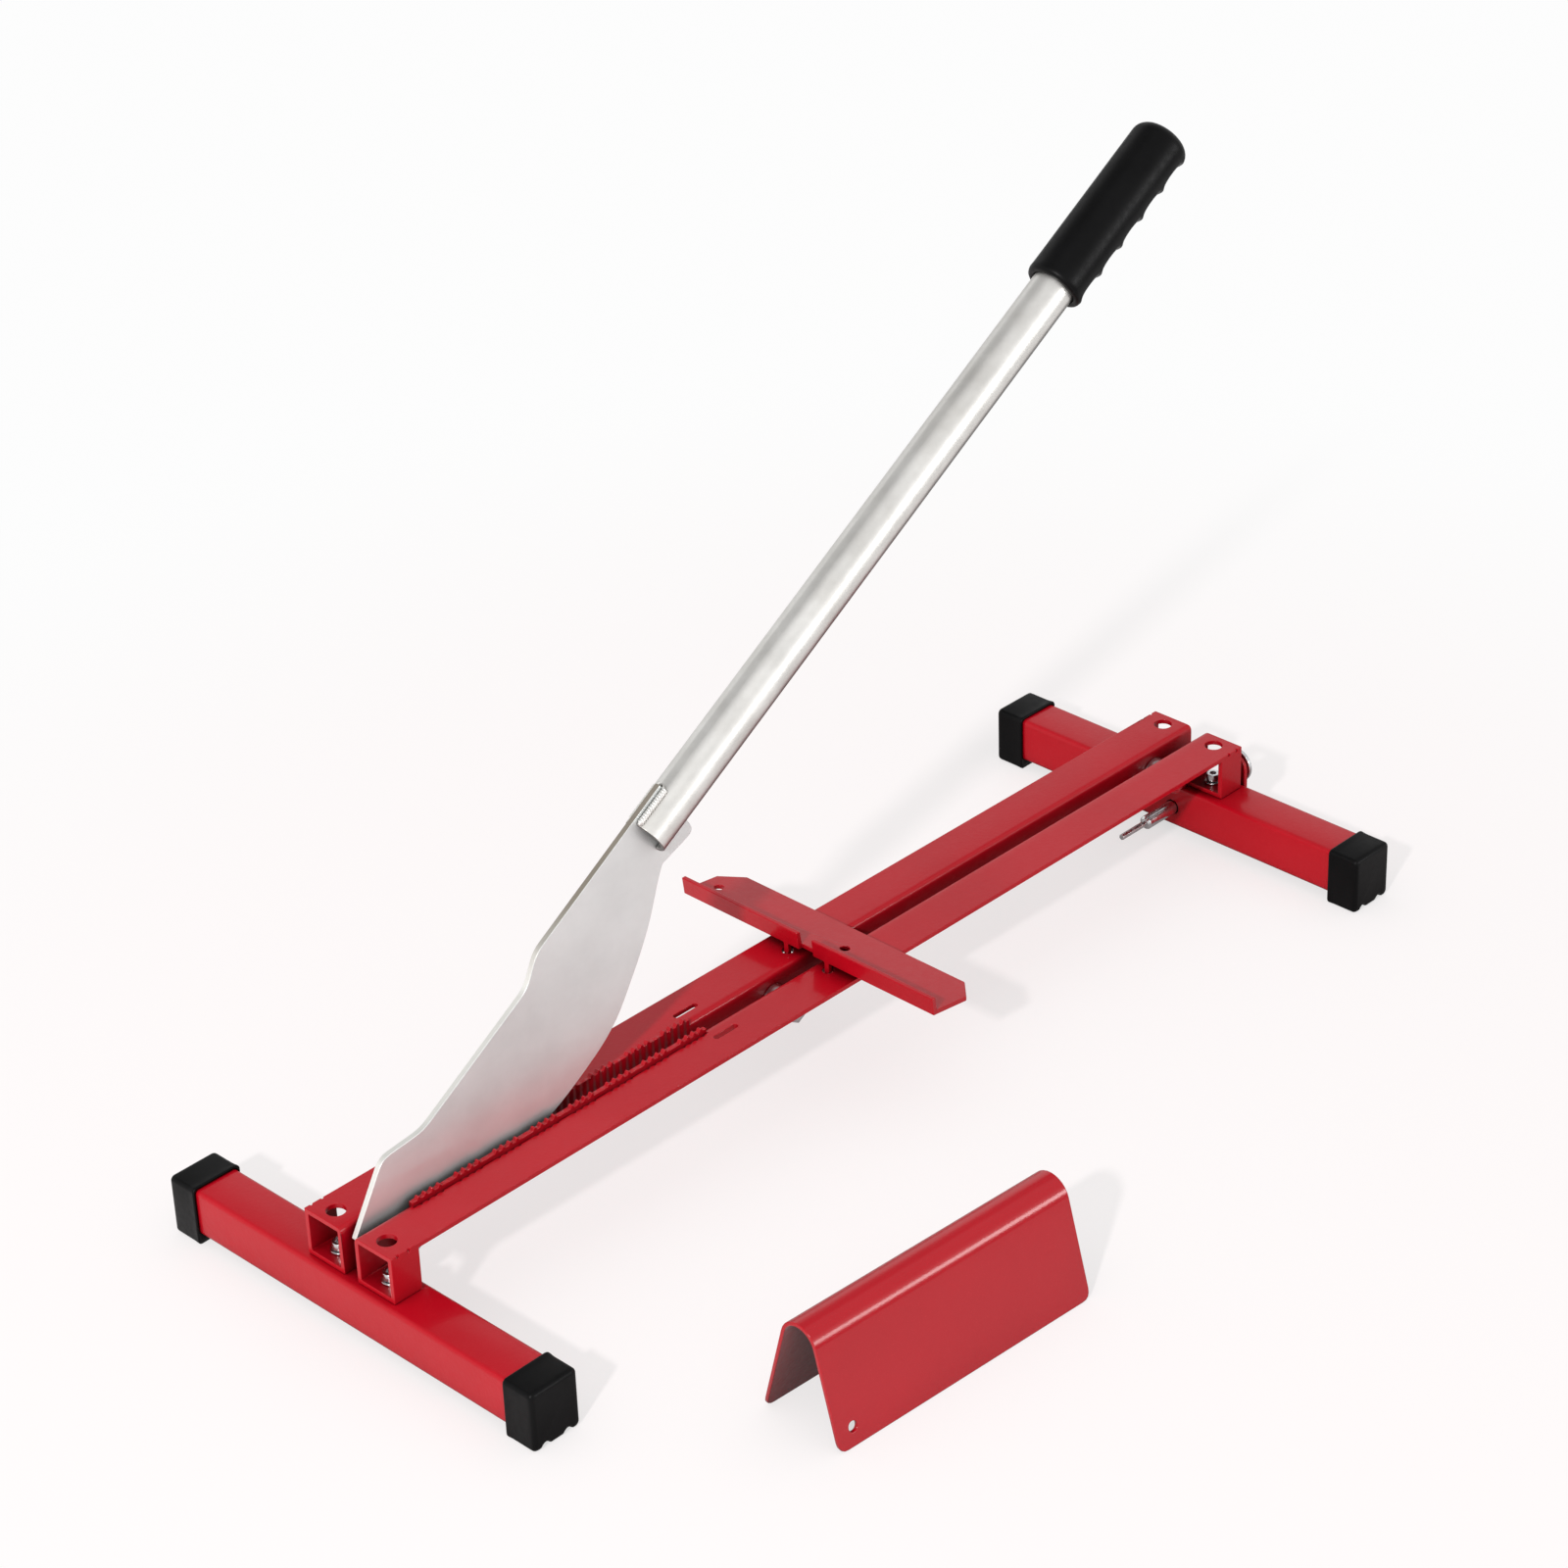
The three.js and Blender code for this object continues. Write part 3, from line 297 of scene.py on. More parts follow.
def red_coat(name, gloss, fluted=False, sheen=0.13, coat_rough=0.13, reach=0.026):
    """Powder coat: clouded red with paler flecks, a fine peel, and shade painted into its folds."""
    material, tree, shader = new_material(name)
    place = coordinates(tree)
    tint = two_tints(tree, noise(tree, place, scale=14, detail=4), RED_DEEP, RED_PALE)
    flecks = two_tints(tree, noise(tree, place, scale=2400, detail=1), (0, 0, 0), (1, 1, 1), FLECK_SPAN)
    speckled = blend_colours(tree, flecks, tint, RED_FLECK)
    # Painted shade: openness darkens the colour and thins the coat in slots, folds and corners
    openness = painted_crevice_shade(tree, reach, deepest=0.10)
    tree.links.new(shaded(tree, speckled, openness), shader.inputs["Base Color"])
    rough = spread(tree, noise(tree, place, scale=200), low=0.30, high=0.40)
    tree.links.new(rough, shader.inputs["Roughness"])
    shader.inputs["Specular IOR Level"].default_value = sheen
    tree.links.new(product(tree, openness, gloss), shader.inputs["Coat Weight"])
    shader.inputs["Coat Roughness"].default_value = coat_rough
    skin_bump = bump(tree, noise(tree, place, scale=480, detail=2), strength=0.2, depth=0.0004)
    if fluted:
        skin_bump = bump(tree, flutes(tree), strength=0.4, depth=0.0006, below=skin_bump)
    peel = noise(tree, place, scale=1500, detail=2)
    skin_bump = bump(tree, peel, strength=0.16, depth=0.00015, below=skin_bump)
    tree.links.new(skin_bump, shader.inputs["Normal"])
    return material


def black_plastic():
    material, tree, shader = new_material("black_moulded_plastic")
    place = coordinates(tree)
    tint = two_tints(tree, noise(tree, place, scale=60), BLACK_DEEP, BLACK_PALE)
    tree.links.new(tint, shader.inputs["Base Color"])
    rough = spread(tree, noise(tree, place, scale=300), low=0.36, high=0.46)
    tree.links.new(rough, shader.inputs["Roughness"])
    grain = bump(tree, noise(tree, place, scale=1800, detail=2), strength=0.1, depth=0.0001)
    waves = bump(tree, noise(tree, place, scale=90, detail=2), strength=0.05, depth=0.001, below=grain)
    tree.links.new(waves, shader.inputs["Normal"])
    shader.inputs["Specular IOR Level"].default_value = 0.11
    return material


def cut_edge(tree):
    """1 on the blade's narrow edges, 0 on its two flat faces."""
    return maths(tree, "LESS_THAN", maths(tree, "ABSOLUTE", normal_axes(tree)["Y"]), EDGE_LEAN)


def edge_tint(tree, low, high):
    """Light ground metal near the tip, and darker brown metal up by the handle."""
    return blend_colours(tree, fade(tree, object_axes(tree)["Z"], EDGE_TINT_HEIGHTS), low, high)


def underside(tree, deepest):
    """1 on what faces sideways or up, falling to the deepest value on what faces down: a share of
    painted shade.
    """
    return fade(tree, normal_axes(tree)["Z"], UNDERSIDE_SPAN, (deepest, 1.0))


def zinc(name, tints, rough, stretch, turn, mottle, metallic, deepest, edge=None, below=1.0):
    """Drawn zinc: mottled, with streaks along it, and shade in corners and underneath."""
    material, tree, shader = new_material(name)
    place = coordinates(tree)
    drawn = coordinates(tree, stretch, turn)
    clouds = noise(tree, place, mottle, detail=5, roughness=0.62)
    tint = two_tints(tree, clouds, *tints, ZINC_SPAN)
    if edge is not None:
        tint = blend_colours(tree, cut_edge(tree), tint, edge_tint(tree, *edge))
    # Painted shade: the colour darkens on faces that look down
    tint = shaded(tree, tint, underside(tree, below))
    # Painted shade: the zinc colour darkens in slots and corners
    tint = shaded(tree, tint, painted_crevice_shade(tree, ZINC_REACH, deepest))
    tree.links.new(tint, shader.inputs["Base Color"])
    shader.inputs["Metallic"].default_value = metallic
    streaks = noise(tree, drawn, scale=90, detail=4, roughness=0.6)
    tree.links.new(spread(tree, streaks, *rough), shader.inputs["Roughness"])
    fine = bump(tree, noise(tree, drawn, scale=420, detail=2), strength=0.03, depth=0.0002)
    waves = bump(tree, noise(tree, place, scale=60), strength=0.05, depth=0.0006, below=fine)
    tree.links.new(waves, shader.inputs["Normal"])
    return material


def bright_plate():
    material, tree, shader = new_material("bright_plated_steel")
    place = coordinates(tree)
    tint = two_tints(tree, noise(tree, place, scale=260), PLATE_DEEP, PLATE_PALE)
    tree.links.new(tint, shader.inputs["Base Color"])
    shader.inputs["Metallic"].default_value = 1.0
    rough = spread(tree, noise(tree, place, scale=500), low=0.14, high=0.28)
    tree.links.new(rough, shader.inputs["Roughness"])
    return material


def weld_metal():
    material, tree, shader = new_material("weld_bead_metal")
    place = coordinates(tree)
    tint = two_tints(tree, noise(tree, place, scale=500, detail=4), BEAD_DEEP, BEAD_PALE)
    tree.links.new(tint, shader.inputs["Base Color"])
    shader.inputs["Metallic"].default_value = 0.6
    rough = spread(tree, noise(tree, place, scale=900), low=0.34, high=0.50)
    tree.links.new(rough, shader.inputs["Roughness"])
    grain = bump(tree, noise(tree, place, scale=600, detail=2), strength=0.14, depth=0.0003)
    tree.links.new(grain, shader.inputs["Normal"])
    return material


RED = red_coat("red_powder_coat", gloss=0.32)
RAIL_RED = red_coat("toothed_rail_red_coat", gloss=0.32, fluted=True)
SUPPORT_RED = red_coat("support_red_coat", gloss=0.8, sheen=0.04, coat_rough=0.18, reach=0.09)
BLACK = black_plastic()
BLADE = zinc(
    "satin_zinc_blade", tints=((0.75, 0.775, 0.77), (0.83, 0.86, 0.855)), rough=(0.36, 0.48),
    stretch=(0.25, 1, 1), turn=(0, 0.6, 0), mottle=26, metallic=0.6, deepest=0.10,
    edge=((0.84, 0.83, 0.79), (0.34, 0.30, 0.25)),
)
TUBE = zinc(
    "zinc_plated_tube", tints=((0.66, 0.645, 0.615), (0.77, 0.76, 0.735)), rough=(0.38, 0.50),
    stretch=(0.3, 1, 1), turn=(0, 0.55, 0), mottle=48, metallic=0.85, deepest=0.35, below=0.30,
)
BRIGHT = bright_plate()
WELD = weld_metal()

SLOT_LOOKS = {"red_coat": RED, "black_plastic": BLACK, "blank_steel": TUBE, "bright_plate": BRIGHT}
NODE_LOOKS = {
    "blade": BLADE, "front_rail": RAIL_RED, "rear_rail": RAIL_RED, "plank_support": SUPPORT_RED,
}


# Mesh helpers

def object_from(name, bm, look, body, nodes, degrees):
    """Makes a piece that rides on a body and stands for CAD nodes, sharp above an angle."""
    bmesh.ops.recalc_face_normals(bm, faces=bm.faces)
    mesh = bpy.data.meshes.new(name)
    bm.to_mesh(mesh)
    bm.free()
    mesh.materials.append(look)
    mesh.shade_smooth()
    mesh.set_sharp_from_angle(angle=math.radians(degrees))
    piece = bpy.data.objects.new(name, mesh)
    bpy.context.scene.collection.objects.link(piece)
    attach(piece, body)
    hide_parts(*nodes)


def skin(rings):
    """Joins rings of points with quads, and caps the two open ends."""
    bm = bmesh.new()
    loops = [[bm.verts.new(point) for point in ring] for ring in rings]
    for first, second in zip(loops, loops[1:]):
        count = len(first)
        for index in range(count):
            after = (index + 1) % count
            bm.faces.new((first[index], first[after], second[after], second[index]))
    bm.faces.new(list(reversed(loops[0])))
    bm.faces.new(loops[-1])
    return bm


def ease(value):
    """Goes smoothly from 0 to 1 while the value does, and stays there outside."""
    value = min(max(value, 0), 1)
    return value * value * (3 - 2 * value)


# CAD nodes: a finish each, and rounded edges

# Widths in millimetres, angles in degrees
EDGE_WIDTHS = {
    "front_rail": 0.30, "rear_rail": 0.30, "near_foot_tube": 0.40, "far_foot_tube": 0.40,
    "fence": 0.45, "keeper_lug": 0.40, "plank_support": 0.45, "blade": 0.30,
    "handle_tube": 0.25, "socket_key": 0.30,
}
SMALL_EDGE_WIDTH = 0.35
EDGE_ANGLE = 33
EDGE_SEGMENTS = 2
FLAT_ANGLE = 0.5
WELD_REACH = 0.002


def smooth_facets():
    """A node group that leaves out a mesh's stored corner normals and shades it smooth."""
    group = bpy.data.node_groups.new("smooth_facets", "GeometryNodeTree")
    for way in ("INPUT", "OUTPUT"):
        group.interface.new_socket("Geometry", in_out=way, socket_type="NodeSocketGeometry")
    given = group.nodes.new("NodeGroupInput")
    bare = group.nodes.new("GeometryNodeRemoveAttribute")
    bare.inputs["Name"].default_value = "custom_normal"
    smooth = group.nodes.new("GeometryNodeSetShadeSmooth")
    result = group.nodes.new("NodeGroupOutput")
    for first, second in ((given, bare), (bare, smooth), (smooth, result)):
        group.links.new(first.outputs["Geometry"], second.inputs["Geometry"])
    return group


SMOOTH_FACETS = smooth_facets()


def soften_edges(node, width):
    """Welds a CAD node's facets, merges its flat triangles and rounds its edges."""
    weld = node.modifiers.new("weld", "WELD")
    weld.merge_threshold = WELD_REACH * MM
    flat = node.modifiers.new("flat", "DECIMATE")
    flat.decimate_type = "DISSOLVE"
    flat.angle_limit = math.radians(FLAT_ANGLE)
    edges = node.modifiers.new("edges", "BEVEL")
    edges.width = width * MM
    edges.segments = EDGE_SEGMENTS
    edges.limit_method = "ANGLE"
    edges.angle_limit = math.radians(EDGE_ANGLE)
    edges.use_clamp_overlap = False
    edges.harden_normals = True


def dress(entry):
    """Gives a CAD node its finish, by its material slots and modifiers alone."""
    node = frame["nodes"][entry["node"]]
    look = NODE_LOOKS.get(entry["node"], SLOT_LOOKS[entry["material_slot"]])
    for slot in node.material_slots:
        slot.material = look
    smooth = node.modifiers.new("smooth", "NODES")
    smooth.node_group = SMOOTH_FACETS
    soften_edges(node, EDGE_WIDTHS.get(entry["node"], SMALL_EDGE_WIDTH))


for entry in frame["record"]["subparts"]:
    dress(entry)


# The grip: a moulded sleeve with a swelling lip and five finger hollows underneath

GRIP_RADIUS = 15.0
GRIP_MOUTH = 12.9
GRIP_BORE = 11.25
GRIP_BORE_END = 88.2
GRIP_END_ROUND = 6.4
GRIP_SIDES = 72
GRIP_STEP = 0.9
END_STEPS = 8

# The lip and the bore's mouth: places along the grip, and growth over mouth or bore
GRIP_LIP = ((0.0, 0.0), (0.15, 0.9), (0.7, 1.6), (1.6, 2.0))
GRIP_BORE_LIP = ((2.0, 0.0), (0.5, 0.1), (0.0, 0.6))
SWELL = 0.125
SWELL_START = 2.6
SWELL_FADE = 2.5

FINGERS = 5
FINGER_FIRST = 11.4
FINGER_PITCH = 18
FINGER_WIDTH = 17.4
FINGER_DEPTH = 2.6
FINGER_FULLNESS = 0.75

# The cosine from straight down at which a hollow starts, and over which it gets full
HOLLOW_START = 0.10
HOLLOW_FADE = 0.75


def finger_hollow(along):
    """How deep the underside is pressed in at a place along the grip."""
    for finger in range(FINGERS):
        offset = (along - FINGER_FIRST - finger * FINGER_PITCH) / (FINGER_WIDTH / 2)
        if abs(offset) < 1:
            return FINGER_DEPTH * (1 - offset * offset) ** FINGER_FULLNESS
    return 0


def grip_ring(along, radius, hollow=0):
    """Points round the grip, with the underside pressed in by the hollow's depth."""
    ring = []
    for side in range(GRIP_SIDES):
        turn = FULL_TURN * side / GRIP_SIDES
        under = ease((math.cos(turn - math.pi) - HOLLOW_START) / HOLLOW_FADE)
        reach = radius - hollow * under
        ring.append(beside_tube(GRIP_START + along, reach * math.sin(turn), reach * math.cos(turn)))
    return ring


def grip():
    stations = [(place, GRIP_MOUTH + growth) for place, growth in GRIP_LIP]
    along = SWELL_START
    while along < GRIP_LENGTH - GRIP_END_ROUND:
        swell = SWELL * math.exp(-((along - SWELL_START) / SWELL_FADE) ** 2)
        stations.append((along, GRIP_RADIUS + swell))
        along += GRIP_STEP
    for step in range(END_STEPS + 1):
        turn = QUARTER_TURN * step / END_STEPS
        place = GRIP_LENGTH - GRIP_END_ROUND * (1 - math.sin(turn))
        stations.append((place, GRIP_RADIUS - GRIP_END_ROUND * (1 - math.cos(turn))))
    bore = [(GRIP_BORE_END, GRIP_BORE)]
    bore += [(place, GRIP_BORE + growth) for place, growth in GRIP_BORE_LIP]
    rings = [grip_ring(place, radius) for place, radius in bore]
    rings += [grip_ring(place, radius, finger_hollow(place)) for place, radius in stations]
    object_from("moulded_grip", skin(rings), BLACK, "arm", ["handle_grip"], 50)


# The weld beads: a rippled run along each side of the tang, hooked round its end

BEAD_SIDES = 14
BEAD_STEPS = 64
BEAD_RADIUS = 1.55
BEAD_ASIDE = 2.9
BEAD_ABOVE_TUBE = 0.75
BEAD_OVERRUN = 2.4
BEAD_REACH = 1.0
BEAD_RIPPLE = 0.16
RIPPLE_PITCH = 1.35

# Each end thins to a share of the radius, over one part in so many of the run
TAPER_PARTS = 16
TAPER_SHARE = 0.45

# The hook: where it starts before the tang's end, its length, how far in it comes, its turn
HOOK_LEAD = 0.6
HOOK_LENGTH = 2.6
HOOK_INWARD = 1.7
HOOK_TURN = 0.9


def bead_ring(side, centre, radius, heading):
    along, across, above = centre
    ring = []
    for step in range(BEAD_SIDES):
        turn = FULL_TURN * step / BEAD_SIDES
        sideways = radius * math.cos(turn)
        ring.append(beside_tube(
            along - sideways * math.sin(heading),
            side * (across + sideways * math.cos(heading)),
            above + radius * math.sin(turn),
        ))
    return ring


def weld_bead(side, name, node):
    rings = []
    for step in range(BEAD_STEPS + 1):
        share = step / BEAD_STEPS
        run = share * (TANG_LAP + BEAD_OVERRUN)
        ripple = BEAD_RIPPLE * math.sin(run * FULL_TURN / RIPPLE_PITCH)
        taper = TAPER_SHARE + (1 - TAPER_SHARE) * ease(min(share, 1 - share) * TAPER_PARTS)
        hook = ease((run - TANG_LAP + HOOK_LEAD) / HOOK_LENGTH)
        along = min(run, TANG_LAP + BEAD_REACH)
        centre = (along, BEAD_ASIDE - HOOK_INWARD * hook, TUBE_RADIUS + BEAD_ABOVE_TUBE)
        rings.append(bead_ring(side, centre, (BEAD_RADIUS + ripple) * taper, HOOK_TURN * hook))
    object_from(name, skin(rings), WELD, "arm", [node], 80)


# The foot caps: soft mouldings with a flared mouth, rounded end and ribbed sole

CAP_HALF = 13.9
CAP_DEPTH = 18.5
CAP_TOP = 31.7
CAP_MOUTH_Y = 105.3
CAP_WALL = 1.1
CAP_END_WALL = 2
CAP_SOLE = 5.0
CAP_ROUND = 2.6
CAP_SOLE_ROUND = 2.2
CORNER_STEPS = 8
CAP_FLARE = 0.28
FLARE_FADE = 4.5

# Rings from inside the bore out to the flare: depth from the mouth, growth over the plain
# section, corner radius, whether the sole is grooved, and the underside's height
CAP_MOUTH_RINGS = (
    (CAP_DEPTH - CAP_END_WALL, -CAP_WALL, 2.2, False, CAP_SOLE - CAP_WALL),
    (0.6, -CAP_WALL, 2.2, False, CAP_SOLE - CAP_WALL),
    (0.0, -CAP_WALL * 0.55, 2.4, False, CAP_SOLE * 0.5),
    (0.05, 0.0, CAP_ROUND, False, 0.6),
    (0.5, CAP_FLARE, CAP_ROUND + 0.2, True, 0.1),
)
CAP_RING_DEPTHS = (1.2, 2.2, 3.4, 5.0, 8.0, 11.0, 13.5, 15.2)

# The closed end: its rounding, how far it stays inside the depth, and its corners, which
# lose a share of the inset down to a least radius
CAP_END_ROUND = 2.4
CAP_END_INSIDE = 0.25
END_CORNER_SHARE = 0.4
END_CORNER_LEAST = 1.4

SOLE_STEPS = 44
SOLE_GROOVE = 1.9
GROOVE_PLACE = 6.6
GROOVE_HALF = 3.1

NEAR_FOOT_X = 8.5
FAR_FOOT_X = 591.5


def sole_height(across):
    """The sole's grooves: two shallow channels that run along the foot."""
    offset = (abs(across) - GROOVE_PLACE) / GROOVE_HALF
    return SOLE_GROOVE * max(1 - offset * offset, 0)


def cap_section(half, low, high, corner, grooved):
    """Points round a rounded rectangle: along the sole, then up, over and down again."""
    points = []
    for step in range(SOLE_STEPS + 1):
        across = (half - CAP_SOLE_ROUND) * (2 * step / SOLE_STEPS - 1)
        rise = sole_height(across) if grooved else 0
        points.append((across, low + rise))
    sole_half = half - CAP_SOLE_ROUND
    top_half = half - corner
    # The last corner stops a step before its end, which is the sole's first point
    corners = (
        (sole_half, low + CAP_SOLE_ROUND, CAP_SOLE_ROUND, -QUARTER_TURN, CORNER_STEPS),
        (top_half, high - corner, corner, 0, CORNER_STEPS),
        (-top_half, high - corner, corner, QUARTER_TURN, CORNER_STEPS),
        (-sole_half, low + CAP_SOLE_ROUND, CAP_SOLE_ROUND, math.pi, CORNER_STEPS + 1),
    )
    for x, z, radius, start, steps in corners:
        for step in range(1, CORNER_STEPS + 1):
            turn = start + QUARTER_TURN * step / steps
            points.append((x + radius * math.cos(turn), z + radius * math.sin(turn)))
    return points


def cap(foot_x, side, name, node):
    def ring(depth, growth, corner, grooved=True, low=0.0):
        top = CAP_TOP + growth
        section = cap_section(CAP_HALF + growth, low - min(growth, 0), top, corner, grooved)
        return [at(foot_x + x, side * (CAP_MOUTH_Y + depth), z) for x, z in section]

    rings = [ring(*values) for values in CAP_MOUTH_RINGS]
    for depth in CAP_RING_DEPTHS:
        rings.append(ring(depth, CAP_FLARE * (1 - ease(depth / FLARE_FADE)), CAP_ROUND))
    for step in range(1, END_STEPS + 1):
        turn = QUARTER_TURN * step / END_STEPS
        inset = CAP_END_ROUND * (1 - math.cos(turn))
        depth = CAP_DEPTH - CAP_END_ROUND * (1 - math.sin(turn)) - CAP_END_INSIDE
        corner = max(CAP_ROUND - inset * END_CORNER_SHARE, END_CORNER_LEAST)
        rings.append(ring(depth, -inset, corner))
    object_from(name, skin(rings), BLACK, "base", [node], 60)


grip()
weld_bead(1, "rear_weld_bead", "rear_weld")
weld_bead(-1, "front_weld_bead", "front_weld")
for end, foot_x in (("near", NEAR_FOOT_X), ("far", FAR_FOOT_X)):
    for side_name, side in (("rear", 1), ("front", -1)):
        cap(foot_x, side, f"moulded_cap_{end}_{side_name}", f"{end}_{side_name}_cap")


# Camera: its place in the part's millimetres, and the directions of its three axes. The
# sensor and the lens are in millimetres, and the clip distances in metres.

CAMERA_PLACE = (-943.197, -1228.631, RAIL_TOP + 1124.199)
CAMERA_RIGHT = Vector((0.69301, -0.72021, -0.03212))
CAMERA_UP = Vector((0.38379, 0.33085, 0.86212))
CAMERA_BACK = Vector((-0.61028, -0.60979, 0.50569))
CAMERA_SENSOR = 36
CAMERA_LENS = 97.37
CAMERA_CLIP = (0.05, 50)


def camera():
    data = bpy.data.cameras.new("camera")
    data.sensor_width = CAMERA_SENSOR
    data.lens = CAMERA_LENS
    data.clip_start, data.clip_end = CAMERA_CLIP
    view = bpy.data.objects.new("camera", data)
    turn = Matrix((CAMERA_RIGHT, CAMERA_UP, CAMERA_BACK)).transposed()
    view.matrix_world = Matrix.Translation(at(*CAMERA_PLACE)) @ turn.to_4x4()
    bpy.context.scene.collection.objects.link(view)
    bpy.context.scene.camera = view


# Floor and room, in metres. A pair of places is where a fade starts and where it ends.

FLOOR_SIZE = 9
FLOOR_DROP = 0.0002
FLOOR_COLOUR = (0.99, 0.885, 0.88, 1)
FLOOR_ROUGHNESS = 0.7
FLOOR_BRIGHT = 0.98
FLOOR_DULL = 0.22

# Where the floor brightens in reflections: left of the part, in front of it up to the
# nearest place, behind it, and on both sides of the far foot
FLOOR_LEFT = (-0.30, -0.33)
FLOOR_FRONT = (-0.07, -0.12)
FLOOR_NEAREST = (-1.0, -0.6)
FLOOR_BEHIND = (0.10, 0.20)
FLOOR_BEFORE_FOOT = (0.24, 0.14)
FLOOR_PAST_FOOT = (0.275, 0.285)

# How much of the seen floor is its even glow: less close to the part, where shadows fall
GLOW_DISTANCES = (0.33, 0.85)
GLOW_SHARES = (0.66, 1.0)

# Light from the sky by height, and how bright the room is in reflections by direction
SKY_HEIGHTS = (-0.1, 1.0)
SKY_LIGHT = (0.36, 0.84)
BACKDROP_HEIGHTS = (0.02, 0.40)
BACKDROP_LIGHT = (0.80, 1.0)
CEILING_HEIGHTS = (0.54, 0.64)
CEILING_LIGHT = (1.0, 0.35)
BEFORE_SPAN = (0.35, 0.0)
BEFORE_LIGHT = (0.0, 0.75)
FLAG_MIDDLE = 0.47
FLAG_SPAN = (0.06, 0.16)
FLAG_LIGHT = (0.05, 1.0)
FLAG_TOP = (0.12, 0.20)


def mirrored_floor(tree):
    """How bright the floor is in reflections alone, a painted reflection: duller round the rails and at
    the far foot.
    """
    axes = object_axes(tree)
    front = product(tree, fade(tree, axes["Y"], FLOOR_FRONT), fade(tree, axes["Y"], FLOOR_NEAREST))
    left = fade(tree, axes["X"], FLOOR_LEFT)
    behind = fade(tree, axes["Y"], FLOOR_BEHIND)
    before_foot = fade(tree, axes["X"], FLOOR_BEFORE_FOOT)
    past_foot = fade(tree, axes["X"], FLOOR_PAST_FOOT)
    off_rails = largest(tree, front, left, behind)
    off_foot = largest(tree, before_foot, past_foot)
    return choose(tree, product(tree, off_rails, off_foot), FLOOR_DULL, FLOOR_BRIGHT)


def glow_share(tree):
    """How much of its glow the floor shows: none to the rays that carry light."""
    path = tree.nodes.new("ShaderNodeLightPath")
    kinds = ("Is Camera Ray", "Is Glossy Ray", "Is Transmission Ray")
    seen = largest(tree, *[path.outputs[kind] for kind in kinds])
    length = tree.nodes.new("ShaderNodeVectorMath")
    length.operation = "LENGTH"
    place = tree.nodes.new("ShaderNodeTexCoord")
    tree.links.new(place.outputs["Object"], length.inputs[0])
    share = fade(tree, length.outputs["Value"], GLOW_DISTANCES, GLOW_SHARES)
    return product(tree, share, seen)


def white_floor():
    """A floor that takes shadows near the part and fades into an even white."""
    material, tree, shader = new_material("white_floor")
    shader.inputs["Base Color"].default_value = FLOOR_COLOUR
    shader.inputs["Roughness"].default_value = FLOOR_ROUGHNESS
    shader.inputs["Specular IOR Level"].default_value = 0.0
    path = tree.nodes.new("ShaderNodeLightPath")
    # Painted reflection: glossy rays see the floor duller near the part than it is
    strength = choose(tree, path.outputs["Is Glossy Ray"], FLOOR_BRIGHT, mirrored_floor(tree))
    glow = tree.nodes.new("ShaderNodeEmission")
    tree.links.new(strength, glow.inputs["Strength"])
    mix = tree.nodes.new("ShaderNodeMixShader")
    tree.links.new(glow_share(tree), mix.inputs["Fac"])
    tree.links.new(shader.outputs["BSDF"], mix.inputs[1])
    tree.links.new(glow.outputs["Emission"], mix.inputs[2])
    tree.links.new(mix.outputs["Shader"], tree.nodes["Material Output"].inputs["Surface"])
    return material


def floor():
    bm = bmesh.new()
    bmesh.ops.create_grid(bm, x_segments=2, y_segments=2, size=FLOOR_SIZE)
    mesh = bpy.data.meshes.new("floor")
    bm.to_mesh(mesh)
    bm.free()
    mesh.materials.append(white_floor())
    plane = bpy.data.objects.new("floor", mesh)
    plane.location.z = -FLOOR_DROP
    bpy.context.scene.collection.objects.link(plane)


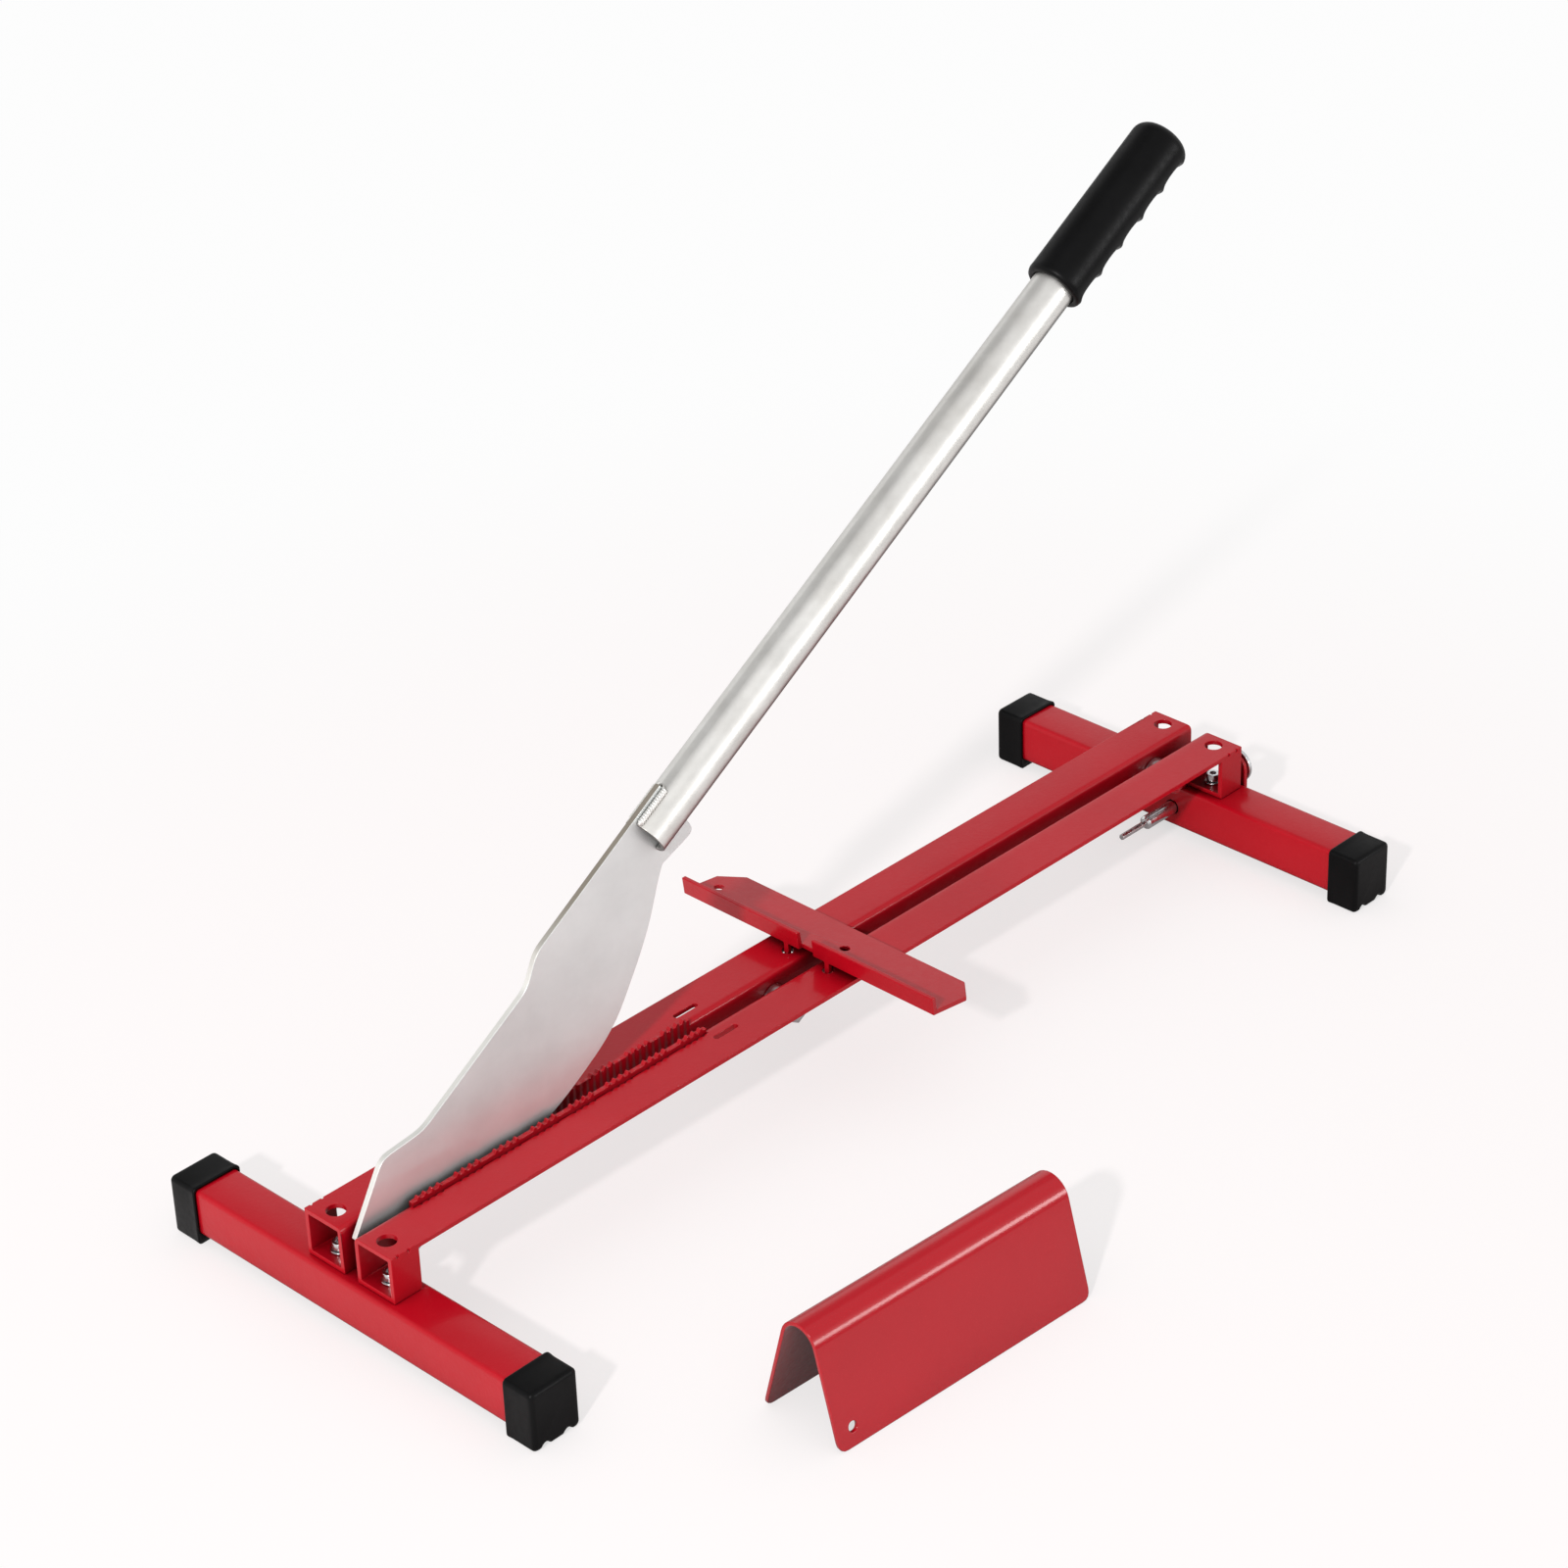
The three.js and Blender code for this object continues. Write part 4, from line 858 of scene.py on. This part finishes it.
def mirrored_room(tree, axes):
    """How bright the room is in reflections, with a narrow dark flag low on the right."""
    backdrop = fade(tree, axes["Z"], BACKDROP_HEIGHTS, BACKDROP_LIGHT)
    ceiling = fade(tree, axes["Z"], CEILING_HEIGHTS, CEILING_LIGHT)
    before = fade(tree, axes["Y"], BEFORE_SPAN, BEFORE_LIGHT)
    beside_flag = fade(tree, distance(tree, axes["X"], FLAG_MIDDLE), FLAG_SPAN, FLAG_LIGHT)
    above_flag = fade(tree, axes["Z"], FLAG_TOP)
    flag = largest(tree, beside_flag, above_flag)
    return product(tree, backdrop, largest(tree, ceiling, before), flag)


def world():
    sky = bpy.data.worlds.new("sky")
    bpy.context.scene.world = sky
    sky.use_nodes = True
    tree = sky.node_tree
    path = tree.nodes.new("ShaderNodeLightPath")
    place = tree.nodes.new("ShaderNodeTexCoord")
    axes = split(tree, place.outputs["Generated"])
    light = fade(tree, axes["Z"], SKY_HEIGHTS, SKY_LIGHT)
    strength = choose(tree, path.outputs["Is Glossy Ray"], light, mirrored_room(tree, axes))
    strength = choose(tree, path.outputs["Is Camera Ray"], strength, 1.0)
    background = tree.nodes["Background"]
    tree.links.new(strength, background.inputs["Strength"])
    background.inputs["Color"].default_value = (1, 1, 1, 1)


def area_light(name, place, aim, size, power, only_glossy=False):
    """A rectangular lamp. One that is only glossy gives reflections and no diffuse light."""
    data = bpy.data.lights.new(name, "AREA")
    data.shape = "RECTANGLE"
    data.size, data.size_y = size
    data.energy = power
    lamp = bpy.data.objects.new(name, data)
    lamp.visible_diffuse = not only_glossy
    turn = (Vector(aim) - Vector(place)).to_track_quat("-Z", "Y").to_matrix().to_4x4()
    lamp.matrix_world = Matrix.Translation(place) @ turn
    bpy.context.scene.collection.objects.link(lamp)


camera()
floor()
world()
area_light("key", place=(-3.89, -1.60, 2.80), aim=(0, 0, 0), size=(0.22, 0.22), power=145)
area_light(
    "strip", place=(1.22, -2.00, 0.69), aim=(-0.14, -0.15, 0.03), size=(0.80, 0.50), power=13,
    only_glossy=True,
)
area_light(
    "front", place=(0.54, -2.33, 0.62), aim=(0, 0, 0.30), size=(0.60, 0.60), power=5,
    only_glossy=True,
)

bpy.context.scene.view_settings.view_transform = "Standard"
